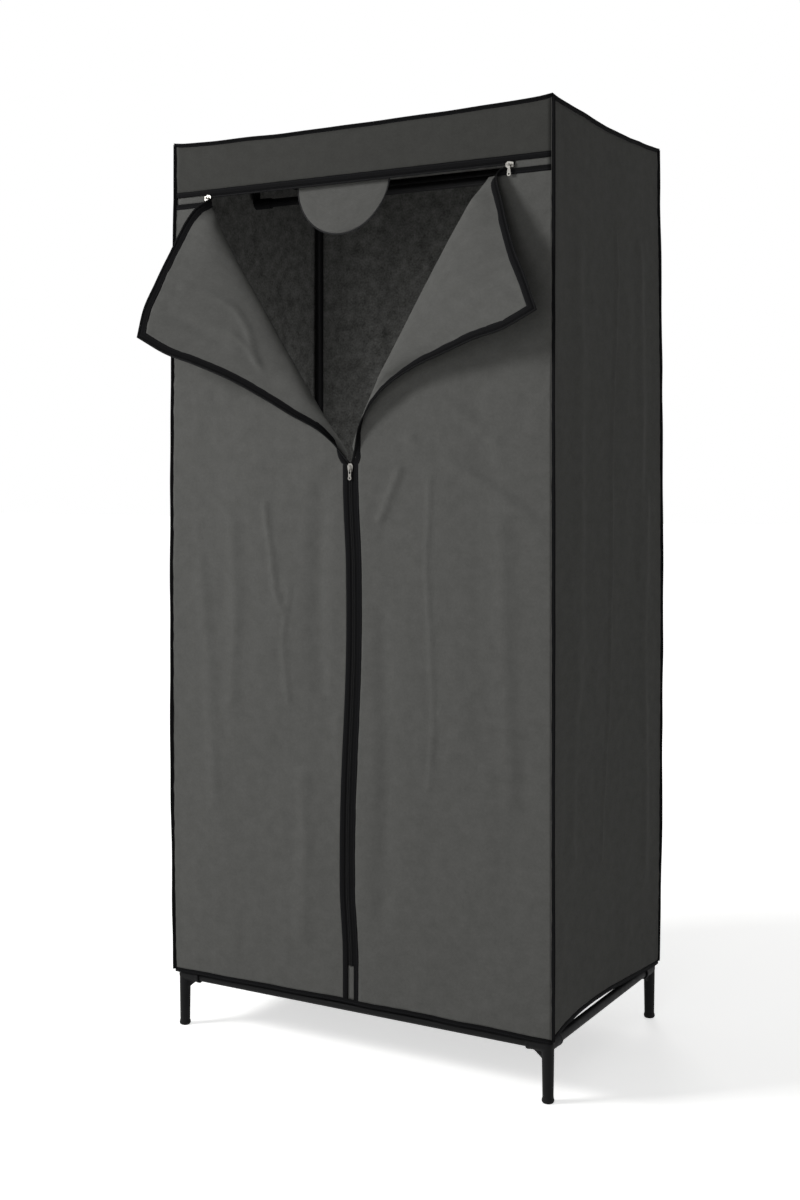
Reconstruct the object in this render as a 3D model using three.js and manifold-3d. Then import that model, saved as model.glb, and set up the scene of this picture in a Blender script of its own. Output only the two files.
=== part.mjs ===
// Portable fabric wardrobe: a frame of push-fit steel tubes under a zipped non-woven cover.
// Millimetres, +Z up. The front faces -Y. The origin is under the middle of the whole part.
import * as THREE from 'three';
import { mergeVertices } from 'three/addons/utils/BufferGeometryUtils.js';
import Module from 'manifold-3d';

const wasm = await Module();
wasm.setup();

// Overall sizes of the cover, over its seam tape
const width = 750;
const depth = 480;
const height = 1600;

// Clearances
const gap = 0.3;
const overrun = 2;
const weldDistance = 1e-4;

// Fabric and seam tape
const clothThickness = 0.8;
const seamWidth = 5;
const seamProud = 2;
const hemHeight = 8;
const hemLevel = 102.5;
const frontHemArch = 7;
const sideHemArch = 12;
const backHemArch = 5;
const panelFold = 5;
const panelFoldCount = 1;
const frontFoldCount = 1.5;
const topSag = 6;

// Steel tubes
const tubeRadius = 8;
const tubeWall = 0.6;
const tubeSides = 16;
const neckLength = 40;
const neckShoulder = 1.5;
const neckClearance = 0.3;
const postJointHeight = 820;

// Moulded connectors
const socketRadius = 10.6;
const socketRimRadius = 11.2;
const socketRimLength = 6;
const socketReach = 36;
const socketFloor = 12;
const socketClearance = 0.4;
const frameClearance = 0.5;
const baseRailLevel = 91;
const legRadius = 10;
const legFootRadius = 9;
const legRimRadius = 10.2;
const legRimHeight = 5;
const gussetReach = 24;
const gussetThickness = 4;

// Garment rail and its brackets
const garmentRailDrop = 59;
const bracketRadius = 10.5;
const bracketCollarLength = 22;
const bracketBarWidth = 17;
const bracketBarThickness = 5;
const bracketSocketReach = 34;
const bracketSocketFloor = 8;

// Zips: the slot between the two bindings, the coil, the tape and the binding, from the zip line outwards
const coilInner = 0.8;
const coilOuter = 3.4;
const coilThickness = 2.2;
const tapeOuter = 6;
const tapeThickness = 0.5;
const bindingOuter = 15.5;
const bindingThickness = 1.6;
const headerZipDrop = 103;
const zipEndRise = 64;
const headerEndPatch = 65;

// Sliders and pulls
const sliderLength = 14;
const sliderWidth = 10.4;
const sliderTailWidth = 7;
const sliderChannel = 3.2;
const sliderPlate = 1.1;
const sliderFlange = 0.8;
const sliderFlangeDrop = 0.7;
const sliderPostWidth = 0.9;
const sliderPostLength = 4;
const bridgeWidth = 1.6;
const bridgeThickness = 1.2;
const bridgeWindow = 2.2;
const bridgeLow = -4.6;
const bridgeHigh = 3.8;
const pullLength = 19;
const pullWidth = 7;
const pullWaist = 5;
const pullThickness = 1;
const pullEyeWidth = 3;
const pullEyeLength = 7.6;
const pullEyeRim = 1.2;
const pullHoleRadius = 1.5;
const pullRingHole = 1.4;
const pullRingRadius = 2.2;
const centreSliderDrop = 485;
const headerSliderInset = 8;

// Folded corners of the front: how far each fold line starts inside the header zip's end, and how far below
// the header zip it meets the centre line
const foldTopInset = 31;
const leftFoldDrop = 462;
const rightFoldDrop = 447;
const leftFoldAngle = 158.5;
const rightFoldAngle = 159.2;
const foldTopRelief = 30;
const foldLowRelief = 34;
const foldGap = 0.5;
const flapCrown = 16;

// How the crown of a folded corner rises steeply from the fold and eases off to the free edges
const crownPeakShare = 0.2;
const crownRise = (out) => out * (1 - out) ** 4;

// Half-round flap behind the header
const halfRoundRadius = 93;
const halfRoundOffset = -17;
const halfRoundSetback = 7;
const halfRoundRise = 14;
const halfRoundHem = 6;

// How many steps each drape and curve is drawn in
const sideColumnSteps = 10;
const sideRowSteps = 14;
const backSteps = 12;
const topColumnSteps = 12;
const topRowSteps = 8;
const headerColumnSteps = 12;
const headerRowSteps = 3;
const frontColumnSteps = 10;
const frontLowRowSteps = 12;
const frontHighRowSteps = 8;
const flapColumnSteps = 14;
const flapRowSteps = 8;
const hemSteps = 10;
const plateSteps = 12;
const halfRoundSteps = 20;
const pullSteps = 8;

// Derived places
const clothOutX = width / 2 - seamProud;
const clothOutY = depth / 2 - seamProud;
const clothInX = clothOutX - clothThickness;
const clothInY = clothOutY - clothThickness;
const seamInX = width / 2 - seamWidth;
const seamInY = depth / 2 - seamWidth;
const postX = clothInX - frameClearance - socketRadius;
const postY = clothInY - frameClearance - socketRadius;
const topClothLevel = height - seamProud - clothThickness;
const topRailLevel = topClothLevel - gap - socketRadius;
const seamUnder = height - seamWidth;
const boreRadius = tubeRadius + socketClearance;
const headerZip = height - headerZipDrop;
const frontMid = -(clothOutY - clothThickness / 2);
const headerZipEnd = clothOutX - headerEndPatch;
const headerSliderX = headerZipEnd - headerSliderInset;
const centreSliderLevel = headerZip - centreSliderDrop;
const foldTopOffset = headerZipEnd - foldTopInset;
const leftFoldLevel = headerZip - leftFoldDrop;
const rightFoldLevel = headerZip - rightFoldDrop;
const centreZipEnd = hemLevel + zipEndRise;
const panelTopLevel = headerZip - bindingOuter - gap;
const garmentRailLevel = topRailLevel - garmentRailDrop;

const finishes = {
  fabric: { color: '#454642', roughness: 0.92, metalness: 0 },
  tape: { color: '#16171a', roughness: 0.8, metalness: 0 },
  steel: { color: '#141415', roughness: 0.42, metalness: 0.3 },
  plastic: { color: '#1b1b1d', roughness: 0.5, metalness: 0 },
  zinc: { color: '#c9cacb', roughness: 0.28, metalness: 1 },
};

const wardrobe = new THREE.Group();

function addPart(name, geometry, finish, parent = wardrobe) {
  const mesh = new THREE.Mesh(geometry, new THREE.MeshStandardMaterial(finishes[finish]));
  mesh.name = name;
  parent.add(mesh);
  return mesh;
}

// Boolean joins and cuts on closed geometry

function toSolid(geometry) {
  const bare = geometry.clone();
  bare.deleteAttribute('normal');
  bare.deleteAttribute('uv');
  const merged = mergeVertices(bare, weldDistance);
  const mesh = new wasm.Mesh({
    numProp: 3,
    vertProperties: new Float32Array(merged.attributes.position.array),
    triVerts: new Uint32Array(merged.index.array),
  });
  return new wasm.Manifold(mesh);
}

function toGeometry(solid) {
  const mesh = solid.getMesh();
  const geometry = new THREE.BufferGeometry();
  geometry.setAttribute('position', new THREE.BufferAttribute(new Float32Array(mesh.vertProperties), 3));
  geometry.setIndex(new THREE.BufferAttribute(new Uint32Array(mesh.triVerts), 1));
  return geometry;
}

function join(...geometries) {
  return toGeometry(geometries.map(toSolid).reduce((all, next) => all.add(next)));
}

function cut(body, ...tools) {
  return toGeometry(tools.map(toSolid).reduce((left, tool) => left.subtract(tool), toSolid(body)));
}

function common(first, second) {
  return toGeometry(toSolid(first).intersect(toSolid(second)));
}

// Basic shapes

function block(x0, x1, y0, y1, z0, z1) {
  const box = new THREE.BoxGeometry(x1 - x0, y1 - y0, z1 - z0);
  return box.translate((x0 + x1) / 2, (y0 + y1) / 2, (z0 + z1) / 2);
}

// A turned shape, its profile given as [radius, distance along +Z]
function turned(profile, sides = tubeSides) {
  const points = profile.map(([radius, along]) => new THREE.Vector2(radius, along));
  return new THREE.LatheGeometry(points, sides).rotateX(Math.PI / 2);
}

function aimed(geometry, direction) {
  const turn = new THREE.Quaternion().setFromUnitVectors(new THREE.Vector3(0, 0, 1), direction);
  return geometry.applyQuaternion(turn);
}

function outline(points) {
  return new THREE.Shape(points.map(([x, y]) => new THREE.Vector2(x, y)));
}

// An outline drawn in X and Z, given a thickness along Y centred on the mid plane
function plate(shape, thickness, curveSegments = plateSteps) {
  const solid = new THREE.ExtrudeGeometry(shape, { depth: thickness, bevelEnabled: false, curveSegments });
  return solid.translate(0, 0, -thickness / 2).rotateX(Math.PI / 2);
}

function bar(profile, length) {
  return new THREE.ExtrudeGeometry(outline(profile), { depth: length, bevelEnabled: false });
}

const directions = {
  x: (sign) => new THREE.Vector3(sign, 0, 0),
  y: (sign) => new THREE.Vector3(0, sign, 0),
  z: (sign) => new THREE.Vector3(0, 0, sign),
};

// Tubes

function tube(length) {
  const inner = tubeRadius - tubeWall;
  return turned([[inner, 0], [tubeRadius, 0], [tubeRadius, length], [inner, length], [inner, 0]]);
}

// The lower post's top end is drawn down to a neck that plugs into the upper post
function neckedTube(length) {
  const inner = tubeRadius - tubeWall;
  const neck = inner - neckClearance;
  const neckInner = neck - tubeWall;
  const neckEnd = length + neckLength;
  return turned([
    [inner, 0], [tubeRadius, 0], [tubeRadius, length], [neck, length + neckShoulder], [neck, neckEnd],
    [neckInner, neckEnd], [neckInner, length + neckShoulder / 2],
    [inner, length - neckShoulder / 2], [inner, 0],
  ]);
}

function railBetween(axis, halfSpan) {
  const halfLength = halfSpan - socketFloor - gap;
  return aimed(tube(2 * halfLength).translate(0, 0, -halfLength), directions[axis](1));
}

// Moulded corner connectors

function rimmedSocket() {
  return turned([
    [0, 0], [socketRadius, 0], [socketRadius, socketReach - socketRimLength],
    [socketRimRadius, socketReach - socketRimLength + (socketRimRadius - socketRadius)],
    [socketRimRadius, socketReach], [boreRadius, socketReach], [boreRadius, socketFloor], [0, socketFloor],
  ]);
}

function plainSocket(reach, floor, radius) {
  return turned([[0, 0], [radius, 0], [radius, reach], [boreRadius, reach], [boreRadius, floor], [0, floor]]);
}

// A socket beside the cloth keeps one radius, so that it clears the cloth
function straightSocket() {
  return plainSocket(socketReach, socketFloor, socketRadius);
}

// The ball that the sockets of a connector grow out of, turned half a facet so that its edges miss theirs
function hub() {
  const ball = new THREE.SphereGeometry(socketRadius, tubeSides, tubeSides / 2);
  return ball.rotateX(Math.PI / 2).rotateZ(Math.PI / tubeSides);
}

function threeWay(sideSocket, signX, signY, signZ) {
  return join(
    aimed(sideSocket(), directions.x(signX)),
    aimed(sideSocket(), directions.y(signY)),
    aimed(straightSocket(), directions.z(signZ)),
    hub(),
  );
}

function gusset() {
  const top = -(boreRadius + socketRadius) / 2;
  return plate(outline([
    [0, top], [gussetReach, top], [gussetReach, -socketRadius], [0, -socketRadius - gussetReach],
  ]), gussetThickness);
}

function leg() {
  return turned([
    [0, -baseRailLevel], [legFootRadius, -baseRailLevel], [legRimRadius, -baseRailLevel + legRimHeight / 2],
    [legRimRadius, -baseRailLevel + legRimHeight], [legFootRadius, -baseRailLevel + legRimHeight * 2],
    [legRadius, -socketRadius], [legRadius, 0], [0, 0],
  ]);
}

function baseCorner(signX, signY) {
  const web = gusset();
  const sideTurn = signY > 0 ? Math.PI / 2 : -Math.PI / 2;
  return join(
    threeWay(rimmedSocket, signX, signY, 1),
    leg(),
    web.clone().rotateZ(signX > 0 ? 0 : Math.PI),
    web.clone().rotateZ(sideTurn),
  );
}

const cornerNames = [
  ['front_left', -1, -1], ['front_right', 1, -1], ['back_left', -1, 1], ['back_right', 1, 1],
];

for (const [name, sideX, sideY] of cornerNames) {
  const base = addPart(`base_corner_${name}`, baseCorner(-sideX, -sideY), 'plastic');
  base.position.set(sideX * postX, sideY * postY, baseRailLevel);
  const top = addPart(`top_corner_${name}`, threeWay(straightSocket, -sideX, -sideY, -1), 'plastic');
  top.position.set(sideX * postX, sideY * postY, topRailLevel);

  const lowerStart = baseRailLevel + socketFloor + gap;
  const lower = addPart(`lower_post_${name}`, neckedTube(postJointHeight - lowerStart), 'steel');
  lower.position.set(sideX * postX, sideY * postY, lowerStart);
  const upperStart = postJointHeight + neckShoulder + gap;
  const upper = addPart(`upper_post_${name}`, tube(topRailLevel - socketFloor - gap - upperStart), 'steel');
  upper.position.set(sideX * postX, sideY * postY, upperStart);
}

for (const [frame, level] of [['base', baseRailLevel], ['top', topRailLevel]]) {
  for (const [name, side] of [['front', -1], ['back', 1]]) {
    addPart(`${frame}_rail_${name}`, railBetween('x', postX), 'steel').position.set(0, side * postY, level);
  }
  for (const [name, side] of [['left', -1], ['right', 1]]) {
    addPart(`${frame}_rail_${name}`, railBetween('y', postY), 'steel').position.set(side * postX, 0, level);
  }
}

// Brackets that hang on the side rails and hold the garment rail below them

function bracket(inward) {
  const half = bracketCollarLength / 2;
  const collar = aimed(turned([
    [0, -half], [bracketRadius, -half], [bracketRadius, half], [0, half],
  ]), directions.y(1));
  const railBore = aimed(turned([
    [0, -half - overrun], [boreRadius, -half - overrun], [boreRadius, half + overrun], [0, half + overrun],
  ]), directions.y(1));
  const arm = aimed(
    plainSocket(bracketSocketReach, bracketSocketFloor, bracketRadius), directions.x(inward),
  ).translate(0, 0, -garmentRailDrop);
  const drop = block(
    -bracketBarThickness / 2, bracketBarThickness / 2, -bracketBarWidth / 2, bracketBarWidth / 2,
    -garmentRailDrop, -boreRadius,
  );
  return cut(join(collar, drop, arm), railBore);
}

for (const [name, side] of [['left', -1], ['right', 1]]) {
  addPart(`hanger_bracket_${name}`, bracket(-side), 'plastic').position.set(side * postX, 0, topRailLevel);
}
const garmentHalf = postX - bracketSocketFloor - gap;
const garmentRail = aimed(tube(2 * garmentHalf).translate(0, 0, -garmentHalf), directions.x(1));
addPart('hanging_rail', garmentRail, 'steel').position.set(0, 0, garmentRailLevel);

// Sheets of cloth: a grid of points, given a thickness along one direction

function sheet(columns, rows, place, thick) {
  const positions = [];
  for (const side of [-1, 1]) {
    for (let row = 0; row <= rows; row += 1) {
      for (let column = 0; column <= columns; column += 1) {
        const point = place(column / columns, row / rows).addScaledVector(thick, side / 2);
        positions.push(point.x, point.y, point.z);
      }
    }
  }
  const stride = columns + 1;
  const layer = stride * (rows + 1);
  const index = [];
  const middle = place(0.5, 0.5);
  const acrossStep = place(0.5 + 1 / columns, 0.5).sub(middle);
  const upStep = place(0.5, 0.5 + 1 / rows).sub(middle);
  const facesOut = acrossStep.cross(upStep).dot(thick) > 0;
  const quad = (a, b, c, d) => (facesOut ? index.push(a, b, c, a, c, d) : index.push(a, c, b, a, d, c));
  for (let row = 0; row < rows; row += 1) {
    for (let column = 0; column < columns; column += 1) {
      const a = row * stride + column;
      quad(layer + a, layer + a + 1, layer + a + stride + 1, layer + a + stride);
      quad(a, a + stride, a + stride + 1, a + 1);
    }
  }
  for (let column = 0; column < columns; column += 1) {
    const far = rows * stride + column;
    quad(column, column + 1, layer + column + 1, layer + column);
    quad(far + 1, far, layer + far, layer + far + 1);
  }
  for (let row = 0; row < rows; row += 1) {
    const near = row * stride;
    const far = near + columns;
    quad(near + stride, near, layer + near, layer + near + stride);
    quad(far, far + stride, layer + far + stride, layer + far);
  }
  const geometry = new THREE.BufferGeometry();
  geometry.setAttribute('position', new THREE.Float32BufferAttribute(positions, 3));
  geometry.setIndex(index);
  return geometry;
}

// A solid through rings of points: capped at both ends where the section is given, otherwise a closed loop
function loft(rings, section = null) {
  const sides = rings[0].length;
  const index = [];
  const joints = section ? rings.length - 1 : rings.length;
  for (let ring = 0; ring < joints; ring += 1) {
    const next = (ring + 1) % rings.length;
    for (let side = 0; side < sides; side += 1) {
      const after = (side + 1) % sides;
      const a = ring * sides + side;
      const b = next * sides + side;
      const c = next * sides + after;
      const d = ring * sides + after;
      index.push(a, b, c, a, c, d);
    }
  }
  if (section) {
    const last = (rings.length - 1) * sides;
    const contour = section.map(([x, y]) => new THREE.Vector2(x, y));
    for (const [a, b, c] of THREE.ShapeUtils.triangulateShape(contour, [])) {
      index.push(a, b, c, last + a, last + c, last + b);
    }
  }
  const geometry = new THREE.BufferGeometry();
  geometry.setAttribute('position', new THREE.Float32BufferAttribute(rings.flat(2), 3));
  geometry.setIndex(index);
  return geometry;
}

const arch = (share) => Math.sin(Math.PI * share);
const mix = (a, b, share) => a + (b - a) * share;

// Soft upright folds that fade out towards every seam
function softFold(across, up, waves) {
  return panelFold * arch(across) * arch(up) * Math.sin(2 * Math.PI * waves * across + Math.PI * up);
}

// Side panels: hem lifted in an arch between the legs
for (const [name, side] of [['left', -1], ['right', 1]]) {
  const x = side * (clothOutX - clothThickness / 2);
  const halfSpan = seamInY - gap;
  const place = (across, up) => {
    const hem = hemLevel + hemHeight + sideHemArch * arch(across);
    const y = mix(-halfSpan, halfSpan, across) * side;
    return new THREE.Vector3(
      x + side * softFold(across, up, panelFoldCount) / 2, y, mix(hem, seamUnder - gap, up),
    );
  };
  const drape = sheet(sideColumnSteps, sideRowSteps, place, new THREE.Vector3(side * clothThickness, 0, 0));
  addPart(`cover_${name}`, drape, 'fabric');
}

// Back panel, with the upright crease that shows through the opening
{
  const halfSpan = seamInX - gap;
  const place = (across, up) => {
    const hem = hemLevel + hemHeight + backHemArch * arch(across);
    const y = clothOutY - clothThickness / 2 - softFold(across, up, panelFoldCount) / 2;
    return new THREE.Vector3(mix(halfSpan, -halfSpan, across), y, mix(hem, seamUnder - gap, up));
  };
  addPart('cover_back', sheet(backSteps, backSteps, place, new THREE.Vector3(0, clothThickness, 0)), 'fabric');
}

// Top panel, sagging a little between the rails
{
  const place = (across, along) => new THREE.Vector3(
    mix(-seamInX + gap, seamInX - gap, across), mix(-seamInY + gap, seamInY - gap, along),
    topClothLevel + clothThickness / 2 - topSag * arch(across) ** 2 * arch(along) ** 2,
  );
  const drape = sheet(topColumnSteps, topRowSteps, place, new THREE.Vector3(0, 0, clothThickness));
  addPart('cover_top', drape, 'fabric');
}

// Frame of reference of a folded corner: the fold line runs from the header zip down to the centre zip

function foldFrame(side, foldLevel) {
  const top = new THREE.Vector3(side * foldTopOffset, frontMid - clothThickness / 2, headerZip);
  const low = new THREE.Vector3(0, frontMid - clothThickness / 2, foldLevel);
  const along = low.clone().sub(top).normalize();
  return { top, low, along };
}

function foldX(side, foldLevel, level) {
  return side * foldTopOffset * (level - foldLevel) / (headerZip - foldLevel);
}

// Front panels, each cut off along its fold line

function frontPanel(side, foldLevel) {
  const outer = seamInX - gap;
  const inner = bindingOuter + gap;
  const fold = foldFrame(side, foldLevel);
  const sideStep = foldGap / Math.abs(fold.along.z);
  const corner = foldLevel + (inner - sideStep) * (headerZip - foldLevel) / foldTopOffset;
  const rows = frontLowRowSteps + frontHighRowSteps;
  const bottom = hemLevel + hemHeight;
  const place = (across, up) => {
    const row = up * rows;
    const level = row <= frontLowRowSteps
      ? mix(bottom, corner, row / frontLowRowSteps)
      : mix(corner, panelTopLevel, (row - frontLowRowSteps) / frontHighRowSteps);
    const edge = Math.max(inner, Math.abs(foldX(side, foldLevel, Math.max(level, foldLevel))) + sideStep);
    const x = side * mix(outer, edge, across);
    const lift = row === 0 ? frontHemArch * arch(0.5 + Math.abs(x) / outer / 2) : 0;
    const freeUp = (level - bottom) / (panelTopLevel - bottom);
    const fade = arch(Math.min(1, (outer - Math.abs(x)) / (outer - inner)));
    const y = frontMid + softFold(across, freeUp, frontFoldCount) / 2 * fade;
    return new THREE.Vector3(x, y, level + lift);
  };
  return sheet(frontColumnSteps, rows, place, new THREE.Vector3(0, side * clothThickness, 0));
}

addPart('front_left_panel', frontPanel(-1, leftFoldLevel), 'fabric');
addPart('front_right_panel', frontPanel(1, rightFoldLevel), 'fabric');

// Folded corners: built flat in the front plane, then turned outwards about the fold line

function pointAlong(start, along, distance) {
  return start.clone().addScaledVector(along, distance);
}

function flapCloth(side, foldLevel) {
  const fold = foldFrame(side, foldLevel);
  const into = new THREE.Vector3(-side * Math.abs(fold.along.z), 0, Math.abs(fold.along.x));
  const inner = bindingOuter + gap;
  const corner = new THREE.Vector3(side * inner, fold.top.y, panelTopLevel);
  const topStart = pointAlong(fold.top, new THREE.Vector3(-side, 0, 0), foldTopRelief);
  topStart.z = panelTopLevel;
  const lowEnd = new THREE.Vector3(side * inner, fold.top.y, foldLevel + foldLowRelief + gap);
  const foldStart = pointAlong(fold.top, fold.along, foldTopRelief).addScaledVector(into, foldGap);
  const foldEnd = pointAlong(fold.low, fold.along, -foldLowRelief).addScaledVector(into, foldGap);
  const cornerShare = topStart.distanceTo(corner) / (topStart.distanceTo(corner) + corner.distanceTo(lowEnd));
  const cornerColumn = Math.round(cornerShare * flapColumnSteps);
  const place = (across, out) => {
    const column = across * flapColumnSteps;
    const rim = column <= cornerColumn
      ? topStart.clone().lerp(corner, column / cornerColumn)
      : corner.clone().lerp(lowEnd, (column - cornerColumn) / (flapColumnSteps - cornerColumn));
    const root = foldStart.clone().lerp(foldEnd, across);
    const point = root.lerp(rim, out);
    point.y = frontMid + flapCrown * crownRise(out) / crownRise(crownPeakShare) * arch(across);
    return point;
  };
  return sheet(flapColumnSteps, flapRowSteps, place, new THREE.Vector3(0, -side * clothThickness, 0));
}

// The section of one half of a zip, as distances from the zip line and from the middle of the cloth
function zipSection() {
  const coil = coilThickness / 2;
  const tape = tapeThickness / 2;
  const binding = bindingThickness / 2;
  return [
    [coilInner, -coil], [coilOuter, -coil], [coilOuter, -tape], [tapeOuter, -tape], [tapeOuter, -binding],
    [bindingOuter, -binding], [bindingOuter, binding], [tapeOuter, binding], [tapeOuter, tape],
    [coilOuter, tape], [coilOuter, coil], [coilInner, coil],
  ];
}

// One half of a zip along +Z with its coil at the zip line and its binding towards +X
function zipHalf(length) {
  return bar(zipSection(), length);
}

// Turns a half so that it runs along the header, coil down (drop -1) or coil up (drop 1)
function headerHalf(length, up) {
  const half = zipHalf(length).translate(0, 0, -length / 2);
  half.rotateY(up > 0 ? -Math.PI / 2 : Math.PI / 2);
  return half.translate(0, frontMid, headerZip);
}

function uprightHalf(side, from, to) {
  const half = zipHalf(to - from);
  half.rotateZ(side > 0 ? 0 : Math.PI);
  return half.translate(0, frontMid, from);
}

// The tape of a folded corner runs along both of its free edges and is mitred at the corner
function flapTape(side, foldLevel) {
  const start = side * (foldTopOffset - foldTopRelief);
  const end = foldLevel + foldLowRelief + gap;
  const section = zipSection();
  const rings = [
    section.map(([away, out]) => [start, frontMid + side * out, headerZip - away]),
    section.map(([away, out]) => [side * away, frontMid + side * out, headerZip - away]),
    section.map(([away, out]) => [side * away, frontMid + side * out, end]),
  ];
  return loft(rings, section);
}

for (const [name, side, foldLevel, angle] of [
  ['left', -1, leftFoldLevel, leftFoldAngle], ['right', 1, rightFoldLevel, rightFoldAngle],
]) {
  const fold = foldFrame(side, foldLevel);
  const hinge = new THREE.Group();
  hinge.position.copy(fold.top);
  hinge.quaternion.setFromAxisAngle(fold.along, side * THREE.MathUtils.degToRad(-angle));
  wardrobe.add(hinge);
  const back = fold.top.clone().negate();
  const cloth = flapCloth(side, foldLevel).translate(back.x, back.y, back.z);
  const tape = flapTape(side, foldLevel).translate(back.x, back.y, back.z);
  addPart(`front_${name}_flap`, cloth, 'fabric', hinge);
  addPart(`${name}_flap_tape`, tape, 'tape', hinge);
}

// Header band, between the top seam and the header zip
{
  const low = headerZip + bindingOuter + gap;
  const high = seamUnder - gap;
  const halfSpan = seamInX - gap;
  const place = (across, up) => new THREE.Vector3(
    mix(-halfSpan, halfSpan, across), frontMid - seamProud / 2 * arch(up) * arch(across), mix(low, high, up),
  );
  const drape = sheet(headerColumnSteps, headerRowSteps, place, new THREE.Vector3(0, -clothThickness, 0));
  addPart('header_band', drape, 'fabric');
}

// Header tape: binding over the whole width, coil and tape between the two zip ends
{
  const halfSpan = seamInX - gap;
  const inner = headerZip + tapeOuter;
  const binding = block(
    -halfSpan, halfSpan, frontMid - bindingThickness / 2, frontMid + bindingThickness / 2,
    inner, headerZip + bindingOuter,
  );
  addPart('header_tape', join(binding, headerHalf(2 * headerZipEnd, 1)), 'tape');
}

// The front panels' own top tapes, from the corner seam to the fold, and the patches that close the zip ends
for (const [name, side, foldLevel] of [['left', -1, leftFoldLevel], ['right', 1, rightFoldLevel]]) {
  const outer = seamInX - gap;
  const foldAtTape = Math.abs(foldX(side, foldLevel, headerZip)) + foldGap;
  const binding = block(
    Math.min(side * outer, side * foldAtTape), Math.max(side * outer, side * foldAtTape),
    frontMid - bindingThickness / 2, frontMid + bindingThickness / 2,
    headerZip - bindingOuter, headerZip - tapeOuter,
  );
  const zipLength = headerZipEnd - foldAtTape;
  const zip = headerHalf(zipLength, -1).translate(side * (foldAtTape + zipLength / 2), 0, 0);
  addPart(`${name}_panel_tape`, join(binding, zip), 'tape');

  const patchIn = headerZipEnd + gap;
  const patch = block(
    Math.min(side * outer, side * patchIn), Math.max(side * outer, side * patchIn),
    frontMid - clothThickness / 2, frontMid + clothThickness / 2,
    headerZip - tapeOuter + gap, headerZip + tapeOuter - gap,
  );
  addPart(`${name}_end_patch`, patch, 'fabric');
}

// Centre zip below the folds: its bindings run on to the hem, beside the patch that closes its lower end
for (const [name, side, foldLevel] of [['left', -1, leftFoldLevel], ['right', 1, rightFoldLevel]]) {
  const low = hemLevel + hemHeight + frontHemArch + gap;
  const zip = uprightHalf(side, centreZipEnd, foldLevel);
  const x0 = side > 0 ? tapeOuter : -bindingOuter;
  const x1 = side > 0 ? bindingOuter : -tapeOuter;
  const binding = block(
    x0, x1, frontMid - bindingThickness / 2, frontMid + bindingThickness / 2, low, centreZipEnd + overrun,
  );
  addPart(`centre_tape_${name}`, join(zip, binding), 'tape');
}
addPart('bottom_patch', block(
  -tapeOuter + gap, tapeOuter - gap, frontMid - clothThickness / 2, frontMid + clothThickness / 2,
  hemLevel + hemHeight + frontHemArch + gap, centreZipEnd - gap,
), 'fabric');

// Seam tape on the four upright corners and round the top
for (const [name, sideX, sideY] of cornerNames) {
  const x0 = Math.min(sideX * width / 2, sideX * seamInX);
  const y0 = Math.min(sideY * depth / 2, sideY * seamInY);
  addPart(`corner_binding_${name}`, block(
    x0, x0 + seamWidth, y0, y0 + seamWidth, hemLevel + hemHeight + gap, seamUnder - gap,
  ), 'tape');
}
{
  const rim = outline([
    [-width / 2, -depth / 2], [width / 2, -depth / 2], [width / 2, depth / 2], [-width / 2, depth / 2],
  ]);
  rim.holes.push(outline([
    [-seamInX, -seamInY], [-seamInX, seamInY], [seamInX, seamInY], [seamInX, -seamInY],
  ]));
  const ring = new THREE.ExtrudeGeometry(rim, { depth: seamWidth, bevelEnabled: false });
  addPart('top_edge_binding', ring.translate(0, 0, seamUnder), 'tape');
}

// Hem tape: one closed band that follows the arches of the hem
function hemBand() {
  const outX = width / 2 - seamProud / 2;
  const outY = depth / 2 - seamProud / 2;
  const top = hemHeight - gap;
  const rings = [];
  for (const [[fromX, fromY], [toX, toY], rise] of [
    [[-1, -1], [1, -1], frontHemArch], [[1, -1], [1, 1], sideHemArch],
    [[1, 1], [-1, 1], backHemArch], [[-1, 1], [-1, -1], sideHemArch],
  ]) {
    for (let step = 0; step < hemSteps; step += 1) {
      const share = step / hemSteps;
      const x = mix(fromX, toX, share);
      const y = mix(fromY, toY, share);
      const low = hemLevel + rise * arch(share);
      rings.push([
        [x * clothInX, y * clothInY, low], [x * outX, y * outY, low],
        [x * outX, y * outY, low + top], [x * clothInX, y * clothInY, low + top],
      ]);
    }
  }
  return loft(rings);
}
addPart('hem_binding', hemBand(), 'tape');

// Half-round flap, sewn behind the header and free below
{
  const flap = new THREE.Shape();
  flap.moveTo(-halfRoundRadius, halfRoundRise);
  flap.lineTo(-halfRoundRadius, 0);
  flap.absarc(0, 0, halfRoundRadius, Math.PI, 2 * Math.PI, false);
  flap.lineTo(halfRoundRadius, halfRoundRise);
  const cloth = plate(flap, clothThickness, halfRoundSteps).translate(0, halfRoundSetback - clothThickness / 2, 0);
  const hem = block(
    -halfRoundRadius, halfRoundRadius, gap, halfRoundSetback - clothThickness / 2,
    halfRoundRise - halfRoundHem, halfRoundRise,
  );
  const level = headerZip + bindingOuter - tapeOuter;
  addPart('half_round_flap', join(cloth, hem), 'fabric').position.set(
    halfRoundOffset, -clothInY, level,
  );
}

// Zip slider, drawn for a zip along +Z: two flanged plates, a post that parts the coils and a bridge in front

// An outline drawn in Z and in height above the front, given a thickness along X centred on the mid plane
function sideways(shape, thickness) {
  const turn = new THREE.Matrix4().makeBasis(directions.z(1), directions.y(-1), directions.x(1));
  const solid = new THREE.ExtrudeGeometry(shape, { depth: thickness, bevelEnabled: false });
  return solid.translate(0, 0, -thickness / 2).applyMatrix4(turn);
}

const channelHalf = sliderChannel / 2;
const sliderFront = channelHalf + sliderPlate;
const bridgeMiddle = (bridgeLow + bridgeHigh) / 2;
const bridgeCentre = sliderFront + bridgeWindow + bridgeThickness / 2;

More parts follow.
